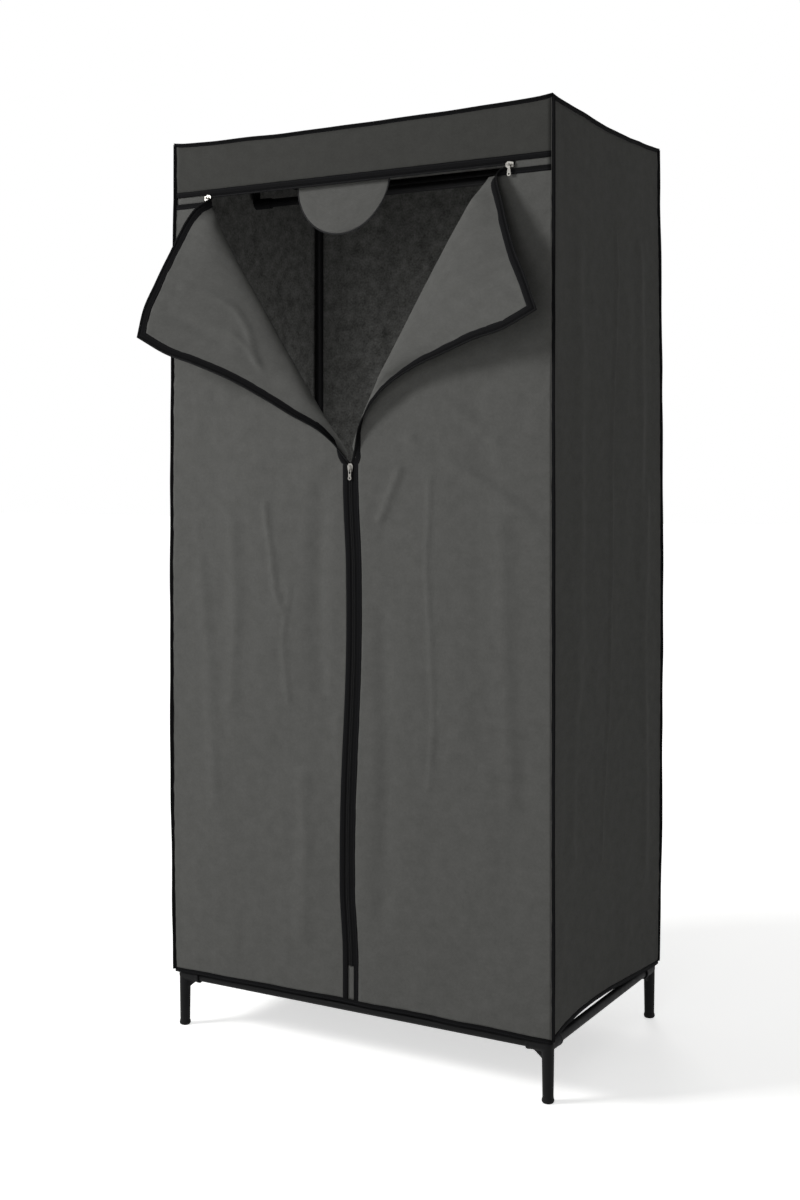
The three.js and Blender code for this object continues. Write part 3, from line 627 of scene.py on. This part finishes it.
def levels(low, high, spacing):
    """Heights from low to high, evenly spaced."""
    return [p.z for p in resampled([Vector((0, 0, low)), Vector((0, 0, high))], spacing)]


def square_to(direction, tangent):
    return (direction - direction.dot(tangent) * tangent).normalized()


def zip_wave(z):
    """How far the hanging cloth draws the zip line aside below its slider."""
    crossing, quarter = 549, 238
    wave = 7 * math.sin((z - crossing) / quarter * math.pi / 2)
    return wave * smooth_step(zip_low_end, 300, z) * smooth_step(1005, 850, z)


def zip_sway(z):
    """How far it draws the zip line forwards or back."""
    return -0.8 * math.sin(z / 60) * smooth_step(zip_low_end, 300, z) * smooth_step(1005, 900, z)


def straight_stations(start, end, inward, spacing=8):
    line = resampled([Vector(start), Vector(end)], spacing)
    return [(p, Vector(inward), Vector((0, -1, 0))) for p in line]


def rim_stations(side, rail, lower, upper):
    """The zip line round a folded corner, from the centre slider over the tip to the header slider."""
    folded = smooth_line(rail, 5)
    low = smooth_line(lower, 6)
    high = smooth_line(upper, 6)
    stations = []
    for part, line in (("low", low), ("high", high)):
        for index in range(1, len(line) - 1):
            place = line[index]
            # Beside the tip its mitre alone stands, so that the tape doesn't cross itself
            if (place - low[-1]).length < mitre_room:
                continue
            tangent = (line[index + 1] - line[index - 1]).normalized()
            share = index / (len(line) - 1)
            # The tape points to the part of the fold that this part of the rim hangs from
            reach = tip_share * share if part == "low" else mix(tip_share, 1.0, share)
            towards = folded[round(reach * (len(folded) - 1))] - place
            if part == "low":
                # From the centre zip it turns over forwards, out of the front plane
                turn = smooth_step(0.0, 0.22, share)
                over = Vector((0.15 * side, 0.9, 0.4))
                first = Vector((side, 0, 0)).lerp(over, min(1.0, 2 * turn))
                inward = first.lerp(towards.normalized(), max(0.0, 2 * turn - 1))
            else:
                # At the header slider it turns back into the front plane
                behind = Vector((-0.2 * side, 0.5, -0.85))
                inward = towards.normalized().lerp(behind, smooth_step(0.86, 1.0, share))
            inward = square_to(inward, tangent)
            stations.append((place, inward, -side * tangent.cross(inward)))
        if part == "low":
            corner = mitred(low[-5], low[-1], high[4])
            normal = -side * (low[-1] - low[-5]).cross(corner).normalized()
            stations.append((low[-1], corner, normal))
    return stations


def offset_from(station, inward, out=0.0):
    """A point of a section at a station, from its distances inward and out."""
    place, direction, normal = station
    return place + direction * inward + normal * out


front_sides = {
    "left": (-1, left_rail, left_lower_rim, left_upper_rim, left_vertex),
    "right": (1, right_rail, right_lower_rim, right_upper_rim, right_vertex),
}
flap_creases = {
    "left": [
        ([(-319, 1333), (-249, 1310), (-218, 1293), (-191, 1256), (-167, 1194)], 5, 3.0),
        ([(-221, 1251), (-187, 1222), (-160, 1182)], 5, 2.0),
        ([(-345, 1290), (-290, 1262), (-236, 1232)], 12, -2.4),
    ],
    "right": [
        ([(197, 1321), (225, 1329), (307, 1367)], 6, 2.2),
        ([(157, 1274), (208, 1286), (264, 1268)], 7, 2.2),
        ([(240, 1330), (300, 1318), (340, 1290)], 12, -2.2),
    ],
}

# Steps of the front sheets: up a panel to the zip's mouth, along the fold, across a panel and a corner
low_rows, high_rows, columns, flap_rows = 180, 84, 70, 36


def front_panel(side, vertex, folded):
    """Points and UVs of a front panel, from the corner seam to the zip line or, higher up, to the fold."""
    seed = 20 + side
    points, uv = [], []
    for row in range(low_rows + high_rows + 1):
        beside_zip = row < low_rows
        if beside_zip:
            level = mix(cloth_bottom, centre_mouth, row / (low_rows - 1))
            inner = Vector((zip_wave(level) + side * tuck, front_y + zip_sway(level), level))
        else:
            level = mix(vertex, panel_top, (row - low_rows) / high_rows)
            inner = folded[row - low_rows]
        for column in range(columns + 1):
            share = column / columns
            x = mix(side * (seam_x + seam_bow(side, -1, level)), inner.x, share)
            z = mix(level, inner.z, share)
            if beside_zip:
                z += hem_rise("front", 0.5 + x / (2 * seam_x)) * (1 - row / (low_rows - 1)) ** 8
            far = abs(x - inner.x)
            edge = min(max(seam_x - abs(x), 0), z - cloth_bottom + 8, panel_top - z + 6)
            fade = smooth_step(0, edge_fade, min(edge, far + 12))
            out = fade * billow(x, z, front_creases, seed) + seam_pucker(x, z, min(edge, far + 3), seed)
            lift = (inner.y - front_y) * max(0.0, 1 - far / 55) ** 2
            points.append(Vector((x, front_y - min(out, 8.5) + lift, z)) if share < 1 else inner.copy())
            uv.append((x * MM, z * MM))
    return points, uv


def front_corner(name, folded, rim):
    """Points and UVs of a folded corner: columns follow the fold upwards, rows go from there to the rim."""
    side = front_sides[name][0]
    seed = 20 + side
    tip = max(range(len(rim)), key=lambda index: rim[index][1].length)
    edge_line = [offset_from(each, tuck) for each in rim]
    first = Vector((side * tuck + zip_wave(centre_mouth), front_y + zip_sway(centre_mouth), centre_mouth))
    tip_column = round(high_rows * tip_share)
    rim_points = resampled([first] + edge_line[:tip + 1], count=tip_column)
    rim_points += resampled(edge_line[tip:], count=high_rows - tip_column)[1:]
    points, uv = [], []
    for root, free in zip(folded, rim_points):
        reach = (free - root).length
        bulge = smooth_step(12, 60, reach)
        forward = Vector((-0.12 * side, -1.0, 0.1)) * min(20, 0.4 * reach) * bulge
        outward = (free - root) * 0.4
        flat = Vector((0, -6, 0)) * bulge
        for row in range(1, flap_rows + 1):
            t = row / flap_rows
            a, b, c, d = root, root + forward + outward * 0.12, free - outward + flat, free
            point = a * (1 - t) ** 3 + b * 3 * t * (1 - t) ** 2 + c * 3 * t * t * (1 - t) + d * t ** 3
            fade = smooth_step(0, 40, reach * t) * smooth_step(0, 30, reach * (1 - t))
            lift = 1.8 * rough(point.x, point.z, 70, seed + 8) + 0.5 * rough(point.x, point.z, 22, seed + 9)
            lift += sum(crease(point.x, point.z, *each) for each in flap_creases[name])
            lift = fade * lift + seam_pucker(point.x, point.z, reach * (1 - t), seed) * bulge
            points.append(point + Vector((0, -lift, 0)))
            uv.append(((root.x - side * reach * t * 0.85) * MM, (root.z + reach * t * 0.5) * MM))
    return points, uv


def front_cloth(name, rim):
    """The front sheet of a side: its panel from the hem to the fold, and on from the fold its corner."""
    side, rail, _, _, vertex = front_sides[name]
    folded = resampled(smooth_line(rail, 3), count=high_rows)
    points, uv = front_panel(side, vertex, folded)
    start = len(points)
    more, places = front_corner(name, folded, rim)

    def vertex_at(column, row):
        on_fold = (low_rows + column) * (columns + 1) + columns
        return on_fold if row == 0 else start + column * flap_rows + row - 1

    faces = grid_faces(columns, low_rows + high_rows)
    if side > 0:
        faces = [tuple(reversed(face)) for face in faces]
    for column in range(high_rows):
        for row in range(flap_rows):
            ring = [(column, row), (column, row + 1), (column + 1, row + 1), (column + 1, row)]
            face = tuple(vertex_at(*each) for each in ring)
            faces.append(face if side < 0 else tuple(reversed(face)))
    return thicken(piece(f"front_{name}_cloth", points + more, faces, [cover_cloth], uv + places))


# Zips: each half is a coil on its tape and a binding folded over the cloth's edge and the tape


def both_sides(half):
    """A section from its lower half, in distances inward and out."""
    return half + [(inward, -out) for inward, out in reversed(half)]


binding_section = both_sides([
    (6.0, -0.5), (6.6, -0.85), (8.6, -0.95), (11.0, -0.8), (13.4, -0.95), (15.0, -0.85), (15.6, -0.4),
])
tape_section = both_sides([(3.0, -0.25), (7.0, -0.25)])
coil_section = both_sides([(0.1, -0.6), (0.6, -1.0), (1.6, -1.15), (2.7, -1.0), (3.5, -0.5)])
fin_section = both_sides([(0.0, -0.8), (1.5, -1.05), (3.4, -0.95), (5.2, -1.1), (6.8, -0.9), (7.6, -0.3)])
hem_section = both_sides([(-1.0, -0.9), (1.0, -1.05), (3.0, -0.95), (5.8, -1.1), (6.5, -0.4)])


def sweep(stations, section, closed=False):
    """Points, faces and UVs of a section carried along the stations, its ends capped unless it is closed."""
    points, uv, faces = [], [], []
    sides = len(section)
    along = 0.0
    for index, station in enumerate(stations):
        if index:
            along += (station[0] - stations[index - 1][0]).length
        for inward, out in section:
            points.append(offset_from(station, inward, out))
            uv.append((along * MM, inward * MM))
    count = len(stations)
    for ring in range(count if closed else count - 1):
        near, far = ring * sides, (ring + 1) % count * sides
        for side in range(sides):
            after = (side + 1) % sides
            faces.append((near + side, near + after, far + after, far + side))
    if not closed:
        faces.append(tuple(reversed(range(sides))))
        faces.append(tuple((count - 1) * sides + side for side in range(sides)))
    return points, faces, uv


def ribbon(name, parts, finishes):
    """One mesh from several swept sections, each with its own finish."""
    points, faces, uv, face_finish = [], [], [], []
    for stations, section, material in parts:
        more, loops, places = sweep(stations, section)
        faces += [tuple(index + len(points) for index in face) for face in loops]
        face_finish += [material] * len(loops)
        points += more
        uv += places
    obj = piece(name, points, faces, finishes, uv, face_finish)
    return outward(obj)


def outward(obj):
    """Turns every shell of a closed mesh so that it faces outwards."""
    shell = bmesh.new()
    shell.from_mesh(obj.data)
    bmesh.ops.recalc_face_normals(shell, faces=shell.faces)
    shell.to_mesh(obj.data)
    shell.free()
    return obj


def zip_ribbon(name, line, zip_part):
    """A binding along the whole line, with tape and coil along the part that is zip."""
    parts = [(line, binding_section, 0), (zip_part, tape_section, 1), (zip_part, coil_section, 2)]
    return ribbon(name, parts, [binding_tape, zip_tape, zip_coil])


def zip_half(name, side, rim):
    """A half of the zips from the hem by way of the rim to the corner seam, with its binding."""
    centre = []
    for z in levels(hem_level + 3, centre_mouth - 1, 8):
        point = Vector((zip_wave(z), front_y + zip_sway(z), z))
        centre.append((point, Vector((side, 0, 0)), Vector((0, -1, 0))))
    mouth, end = (side * header_mouth, front_y, header_zip), (side * binding_end, front_y, header_zip)
    header = straight_stations(mouth, end, (0, 0, -1))
    whole = centre + rim + header
    zip_part = [s for s in centre if s[0].z >= zip_low_end - 6] + rim
    zip_part += [s for s in header if abs(s[0].x) <= zip_end]
    return zip_ribbon(f"{name}_zip_half", whole, zip_part)


for name, (side, *lines, _) in front_sides.items():
    rim = rim_stations(side, *lines)
    front = front_cloth(name, rim)
    tape = zip_half(name, side, rim)
    for soft, hidden, slot in (
        (front, (f"front_{name}_panel", f"front_{name}_flap"), "fabric"),
        (tape, (f"centre_tape_{name}", f"{name}_flap_tape", f"{name}_panel_tape"), "tape"),
    ):
        at((side * 200, front_y - 9, 1300))
        at((side * 200, front_y - 14, 1300))
        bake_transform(soft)
        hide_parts(*hidden)

header_line = straight_stations(
    (-binding_end, front_y, header_zip), (binding_end, front_y, header_zip), (0, 0, 1),
)
header_zip_part = [s for s in header_line if abs(s[0].x) <= zip_end]
header_half = zip_ribbon("header_zip_half", header_line, header_zip_part)
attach(header_half, "wardrobe_body")
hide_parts("header_tape")

# Patches sewn behind the bindings, which close the ends of the zips
patch_y = front_y + 1.6
patch_half = 9
for name, side in (("left", -1), ("right", 1)):
    patch = sheet(
        f"{name}_end_cloth", 8, 3,
        lambda across, up: (
            side * mix(zip_end - 3, 371, across), patch_y, header_zip + mix(-patch_half, patch_half, up),
        ),
        [cover_cloth], (66, 18),
    )
    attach(patch, "wardrobe_body")
    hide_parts(f"{name}_end_patch")
patch = sheet(
    "bottom_cloth", 3, 10,
    lambda across, up: (
        mix(-patch_half, patch_half, across), patch_y, mix(hem_level + hem_height, zip_low_end + 0.3, up),
    ),
    [cover_cloth], (18, 62),
)
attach(patch, "wardrobe_body")
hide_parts("bottom_patch")

# Seam bindings: a folded tape that stands out of each seam

# The near corner's binding is pressed over towards the side, the others stand out of their corners
fin_leans = {"front_left": 45, "front_right": 8, "back_left": 45, "back_right": 45}
corner_names = [("front_left", -1, -1), ("front_right", 1, -1), ("back_left", -1, 1), ("back_right", 1, 1)]
for index, (name, sx, sy) in enumerate(corner_names):
    stations = []
    for z in levels(hem_level + 4, seam_top + 4.5, 9):
        turn = 14 * rough(z, 0, 260, 40 + index)
        lean = math.radians(fin_leans[name] + turn + 5 * rough(z, 0, 60, 50 + index))
        sway = 0.9 * rough(z, 0, 90, 60 + index)
        direction = Vector((sx * math.cos(lean), sy * math.sin(lean), 0))
        root = Vector((sx * (371 + sway + seam_bow(sx, sy, z)), sy * (236.4 + sway), z))
        normal = Vector((0, 0, 1)).cross(direction)
        stations.append((root, direction, normal))
    fin = ribbon(f"{name}_seam_tape", [(stations, fin_section, 0)], [seam_tape])
    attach(fin, "wardrobe_body")
    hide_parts(f"corner_binding_{name}")


def loop_stations(half_x, half_y, level, slant):
    """Stations round the cover's four sides; level gives the height on each side."""
    stations = []
    corners = [(-1, -1), (1, -1), (1, 1), (-1, 1)]
    for index, (face, (cx, cy)) in enumerate(zip(faces_round, corners)):
        nx, ny = corners[(index + 1) % 4]
        start = Vector((cx * half_x, cy * half_y, 0))
        end = Vector((nx * half_x, ny * half_y, 0))
        run = (end - start).normalized()
        for place in resampled([start, end], 9)[:-1]:
            share = (place - start).length / (end - start).length
            z = level(face, share if index < 2 else 1 - share)
            outwards = Vector((run.y, -run.x, 0)) if share > 0 else Vector((cx, cy, 0))
            along = run if share > 0 else Vector((-cy, cx, 0)).normalized()
            direction = outwards * math.cos(slant) + Vector((0, 0, math.sin(slant)))
            stations.append((Vector((place.x, place.y, z)), direction, along.cross(direction).normalized()))
    return stations


def closed_ribbon(name, stations, section, material):
    points, faces, uv = sweep(stations, section, closed=True)
    return outward(piece(name, points, faces, [material], uv))


def top_level(face, share):
    return seam_top - 1.5 - top_drop(face, share)


top_loop = loop_stations(371, 236, top_level, math.radians(50))
top_fin = closed_ribbon("top_seam_tape", top_loop, fin_section, seam_tape)
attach(top_fin, "wardrobe_body")
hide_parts("top_edge_binding")


def hem_line(face, share):
    return hem_level + hem_rise(face, share) + 0.7 * rough(share * 300, 0, 22, 70 + faces_round[face])


hem_loop = loop_stations(373, 238, hem_line, math.radians(90))
hem = closed_ribbon("hem_tape", hem_loop, hem_section, seam_tape)
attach(hem, "wardrobe_body")
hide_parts("hem_binding")

# Half-round flap that hangs behind the header


def half_round_place(across, up):
    x = round_radius * math.sin(math.pi * (across - 0.5))
    low = -math.sqrt(max(round_radius * round_radius - x * x, 0))
    z = mix(round_rise, low, up)
    hang = up ** 2 * math.cos(math.pi * (across - 0.5))
    back = (6 * hang + 0.8 * rough(x, z, 50, 81)) * up
    return (round_x + x - 12 * hang, round_y + back, round_level + z)


half_round = sheet("half_round_cloth", 40, 20, half_round_place, [cover_cloth], (186, 107))
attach(half_round, "half_round")
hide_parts("half_round_flap")
edge_stations = []
edge_steps = 60
for step in range(edge_steps + 1):
    turn = math.pi * (step / edge_steps - 0.5)
    place = Vector(half_round_place(step / edge_steps, 1.0))
    outwards = Vector((math.sin(turn), 0, -math.cos(turn)))
    edge_stations.append((place, outwards, Vector((0, -1, 0))))
edge_section = [(-2.6, -0.6), (-1.0, -0.8), (0.4, -0.6), (0.7, 0.0), (0.4, 0.6), (-1.0, 0.8), (-2.6, 0.6)]
edge = ribbon("half_round_overlock", [(edge_stations, edge_section, 0)], [overlock])
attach(edge, "half_round")

# Frame: steel tubes, moulded connectors with their legs, brackets and the garment rail


def turned(profile, sides=36):
    """Points and faces of a turned shape about +Z from a closed profile of [radius, height]."""
    points, faces = [], []
    count = len(profile)
    for side in range(sides):
        angle = 2 * math.pi * side / sides
        points += [Vector((r * math.cos(angle), r * math.sin(angle), h)) for r, h in profile]
    for side in range(sides):
        near, far = side * count, (side + 1) % sides * count
        for step in range(count):
            after = (step + 1) % count
            faces.append((near + step, near + after, far + after, far + step))
    return points, faces


def aimed(points, direction):
    turn = Vector((0, 0, 1)).rotation_difference(Vector(direction))
    return [turn @ p for p in points]


def tube(name, start, end, profile=None):
    """A straight tube between two points, or one with another profile."""
    start, end = Vector(start), Vector(end)
    length = (end - start).length
    inner = tube_radius - tube_wall
    eased = 0.15
    profile = profile or [
        (inner, 0), (tube_radius - eased, 0), (tube_radius, eased), (tube_radius, length - eased),
        (tube_radius - eased, length), (inner, length),
    ]
    points, faces = turned(profile)
    points = [start + p for p in aimed(points, (end - start).normalized())]
    obj = outward(piece(name, points, faces, [coated_steel]))
    crisp(obj)
    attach(obj, "wardrobe_body")
    return obj


def crisp(obj):
    """Keeps a tube's sharp edges as edges in the shading."""
    sharp = math.radians(35)
    shell = bmesh.new()
    shell.from_mesh(obj.data)
    for edge_of in shell.edges:
        if len(edge_of.link_faces) == 2 and edge_of.calc_face_angle() > sharp:
            edge_of.smooth = False
    shell.to_mesh(obj.data)
    shell.free()


for name, sx, sy in corner_names:
    x, y = sx * post_x, sy * post_y
    low = base_rail + socket_floor + clearance
    inner = tube_radius - tube_wall
    reach = post_joint - low
    neck = inner - clearance
    profile = [
        (inner, 0), (tube_radius, 0), (tube_radius, reach), (neck, reach + outer_taper),
        (neck, reach + neck_length), (neck - tube_wall, reach + neck_length),
        (neck - tube_wall, reach + inner_taper), (inner, reach - inner_taper),
    ]
    lower = tube(f"lower_post_tube_{name}", (x, y, low), (x, y, post_joint), profile)
    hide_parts(f"lower_post_{name}")
    upper = tube(
        f"upper_post_tube_{name}",
        (x, y, post_joint + outer_taper + clearance), (x, y, top_rail - socket_floor - clearance),
    )
    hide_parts(f"upper_post_{name}")
for level_name, z in (("base", base_rail), ("top", top_rail)):
    half = post_x - socket_floor - clearance
    for name, sy in (("front", -1), ("back", 1)):
        rail_tube = tube(f"{level_name}_tube_{name}", (-half, sy * post_y, z), (half, sy * post_y, z))
        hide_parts(f"{level_name}_rail_{name}")
    half = post_y - socket_floor - clearance
    for name, sx in (("left", -1), ("right", 1)):
        rail_tube = tube(f"{level_name}_tube_{name}", (sx * post_x, -half, z), (sx * post_x, half, z))
        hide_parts(f"{level_name}_rail_{name}")
garment_half = post_x - bracket_gap - clearance
garment_level = top_rail - garment_drop
garment = tube("garment_tube", (-garment_half, 0, garment_level), (garment_half, 0, garment_level))
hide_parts("hanging_rail")


def moulding(name, shells, body_place):
    """A moulded piece: its shells are fused, and their joins run together in small fillets."""
    points, faces = [], []
    for more, loops in shells:
        faces += [tuple(index + len(points) for index in face) for face in loops]
        points += more
    obj = outward(piece(name, [p + Vector(body_place) for p in points], faces, [moulded]))
    fuse = obj.modifiers.new("fused", "REMESH")
    fuse.mode = "VOXEL"
    fuse.voxel_size = moulding_voxel * MM
    fuse.use_smooth_shade = True
    ease = obj.modifiers.new("eased", "SMOOTH")
    ease.factor = 0.5
    ease.iterations = 3
    return settle(obj)


def socket_shell(direction, rimmed):
    """A socket for a tube, with a thicker rim at its mouth on the base connectors."""
    mouth = [(socket_radius, socket_reach)]
    if rimmed:
        rim_start = socket_reach - socket_rim_length
        mouth = [(socket_radius, rim_start), (socket_rim, rim_start + 0.6), (socket_rim, socket_reach)]
    points, faces = turned([
        (axis_radius, 0), (socket_radius, 0), *mouth, (bore_radius, socket_reach),
        (bore_radius, socket_floor), (axis_radius, socket_floor),
    ])
    return aimed(points, direction), faces


def ball(radius, rings=12):
    angles = [math.pi * k / rings for k in range(rings + 1)]
    return turned([(max(axis_radius, radius * math.sin(a)), -radius * math.cos(a)) for a in angles])


def leg_shell():
    """The leg below a base connector, with a foot ring."""
    foot = -base_rail
    return turned([
        (axis_radius, foot), (8.6, foot), (9.0, foot + 0.5), (10.2, foot + 3), (10.2, foot + 5),
        (9.0, foot + 9), (10, -socket_radius), (10, 0), (axis_radius, 0),
    ])


def web_shell(direction):
    """The gusset between the leg and a socket."""
    d = Vector(direction)
    side = Vector((0, 0, 1)).cross(d) * 2
    reach, top_edge, low_edge = 24, -9.5, -34.6
    outline = [(0, top_edge), (reach, top_edge), (reach, -socket_radius), (10, -22), (0, low_edge)]
    points = [d * r + Vector((0, 0, z)) + side * sign for sign in (-1, 1) for r, z in outline]
    count = len(outline)
    faces = [tuple(range(count)), tuple(reversed(range(count, 2 * count)))]
    faces += [(k, k + count, (k + 1) % count + count, (k + 1) % count) for k in range(count)]
    return points, faces


for name, sx, sy in corner_names:
    for level_name, level, up in (("base", base_rail, 1), ("top", top_rail, -1)):
        on_base = level_name == "base"
        shells = [
            socket_shell((-sx, 0, 0), on_base), socket_shell((0, -sy, 0), on_base),
            socket_shell((0, 0, up), False), ball(socket_radius),
        ]
        if on_base:
            shells += [leg_shell(), web_shell((-sx, 0, 0)), web_shell((0, -sy, 0))]
        connector_place = (sx * post_x, sy * post_y, level)
        connector = moulding(f"{level_name}_connector_{name}", shells, connector_place)
        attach(connector, "wardrobe_body")
        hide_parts(f"{level_name}_corner_{name}")

# These keep their CAD shape, with the soft edges of mouldings and of tumbled die castings
castings = ["centre_slider", "left_slider", "right_slider", "centre_pull", "left_pull", "right_pull"]
cad_shapes = [(name, moulded, 0.6) for name in ("hanger_bracket_left", "hanger_bracket_right")]
cad_shapes += [(name, plated_zinc, 0.18) for name in castings]
for name, material, edge_width in cad_shapes:
    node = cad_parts[name]
    node.data.materials.clear()
    node.data.materials.append(material)
    soft_edge = node.modifiers.new("soft edge", "BEVEL")
    soft_edge.width = edge_width * MM
    soft_edge.segments = 2
    soft_edge.limit_method = "ANGLE"

# Camera: eye level, in front and to the right

camera_data = bpy.data.cameras.new("camera")
camera_data.lens = 46.55
camera_data.sensor_width = 36
camera_data.shift_y = -0.1011
camera_data.clip_end = 100
camera = placed("camera", camera_data)
camera.location = at((1382.2, -2488.1, 993.2))
camera.rotation_euler = (math.pi / 2, 0, math.radians(29.743))
bpy.context.scene.camera = camera

# Studio: a large soft lamp from the front left with three weaker ones, an even room and a pale floor


def soft_lamp(name, place, size, power, aim):
    lamp_data = bpy.data.lights.new(name, "AREA")
    lamp_data.shape = "SQUARE"
    lamp_data.size = size
    lamp_data.energy = power
    lamp = placed(name, lamp_data)
    lamp.location = at(place)
    lamp.rotation_euler = (at(aim) - lamp.location).to_track_quat("-Z", "Y").to_euler()
    return lamp


soft_lamp("key lamp", (-2700, -2500, 2600), 1.1, 120, (0, -240, 1000))
soft_lamp("fill lamp", (500, -2600, 1350), 1.3, 10, (0, 0, 1050))
# A faint lamp from behind shows the creases of the back, which the front lamps leave in shade
soft_lamp("back lamp", (-1300, 3200, 2100), 1.3, 26, (0, 240, 900))
# A small lamp low behind the zip lights the inside, which the others don't reach
soft_lamp("inside lamp", (0, -20, 820), 0.25, 2.1, (40, 200, 1560)).visible_camera = False

world = bpy.data.worlds.new("studio")
bpy.context.scene.world = world
world.use_nodes = True
room = world.node_tree
background = room.nodes["Background"]
# The room looks white and lights the wardrobe faintly
rays = add(room, "ShaderNodeLightPath")
seen_white = add(
    room, "ShaderNodeMath", {"operation": "MAXIMUM"},
    i0=rays.outputs["Is Camera Ray"], i1=rays.outputs["Is Glossy Ray"],
)
seen_too = add(
    room, "ShaderNodeMath", {"operation": "MAXIMUM"},
    i0=seen_white.outputs[0], i1=rays.outputs["Is Transmission Ray"],
)
strength = add(room, "ShaderNodeMapRange", Value=seen_too.outputs[0], To_Min=0.19, To_Max=1.0)
background.inputs["Color"].default_value = (1, 1, 1, 1)
room.links.new(strength.outputs[0], background.inputs["Strength"])

floor_material, floor_tree, floor_shader = finish("pale_floor", "#f2f2f0", 0.9)
floor_rays = add(floor_tree, "ShaderNodeLightPath")
floor_seen = add(
    floor_tree, "ShaderNodeMath", {"operation": "MAXIMUM"},
    i0=floor_rays.outputs["Is Camera Ray"], i1=floor_rays.outputs["Is Glossy Ray"],
)
# What the lamps leave dark far off is lit for the eye, so that the floor runs into the background
floor_place = add(floor_tree, "ShaderNodeTexCoord").outputs["Object"]
floor_distance = add(floor_tree, "ShaderNodeVectorMath", {"operation": "LENGTH"}, i0=floor_place)
floor_far = add(
    floor_tree, "ShaderNodeMapRange", Value=floor_distance.outputs["Value"], From_Min=1.0, From_Max=4.0,
    To_Min=0.62, To_Max=0.98,
)
floor_glow = add(
    floor_tree, "ShaderNodeMath", {"operation": "MULTIPLY"},
    i0=floor_seen.outputs[0], i1=floor_far.outputs[0],
)
floor_shader.inputs["Emission Color"].default_value = (1, 1, 1, 1)
floor_tree.links.new(floor_glow.outputs[0], floor_shader.inputs["Emission Strength"])
half = 30
floor_corners = [(-half, -half, 0), (half, -half, 0), (half, half, 0), (-half, half, 0)]
floor_mesh = bpy.data.meshes.new("floor")
floor_mesh.from_pydata(floor_corners, [], [(0, 1, 2, 3)])
floor_mesh.materials.append(floor_material)
floor = placed("floor", floor_mesh)

bpy.context.scene.view_settings.view_transform = "Standard"
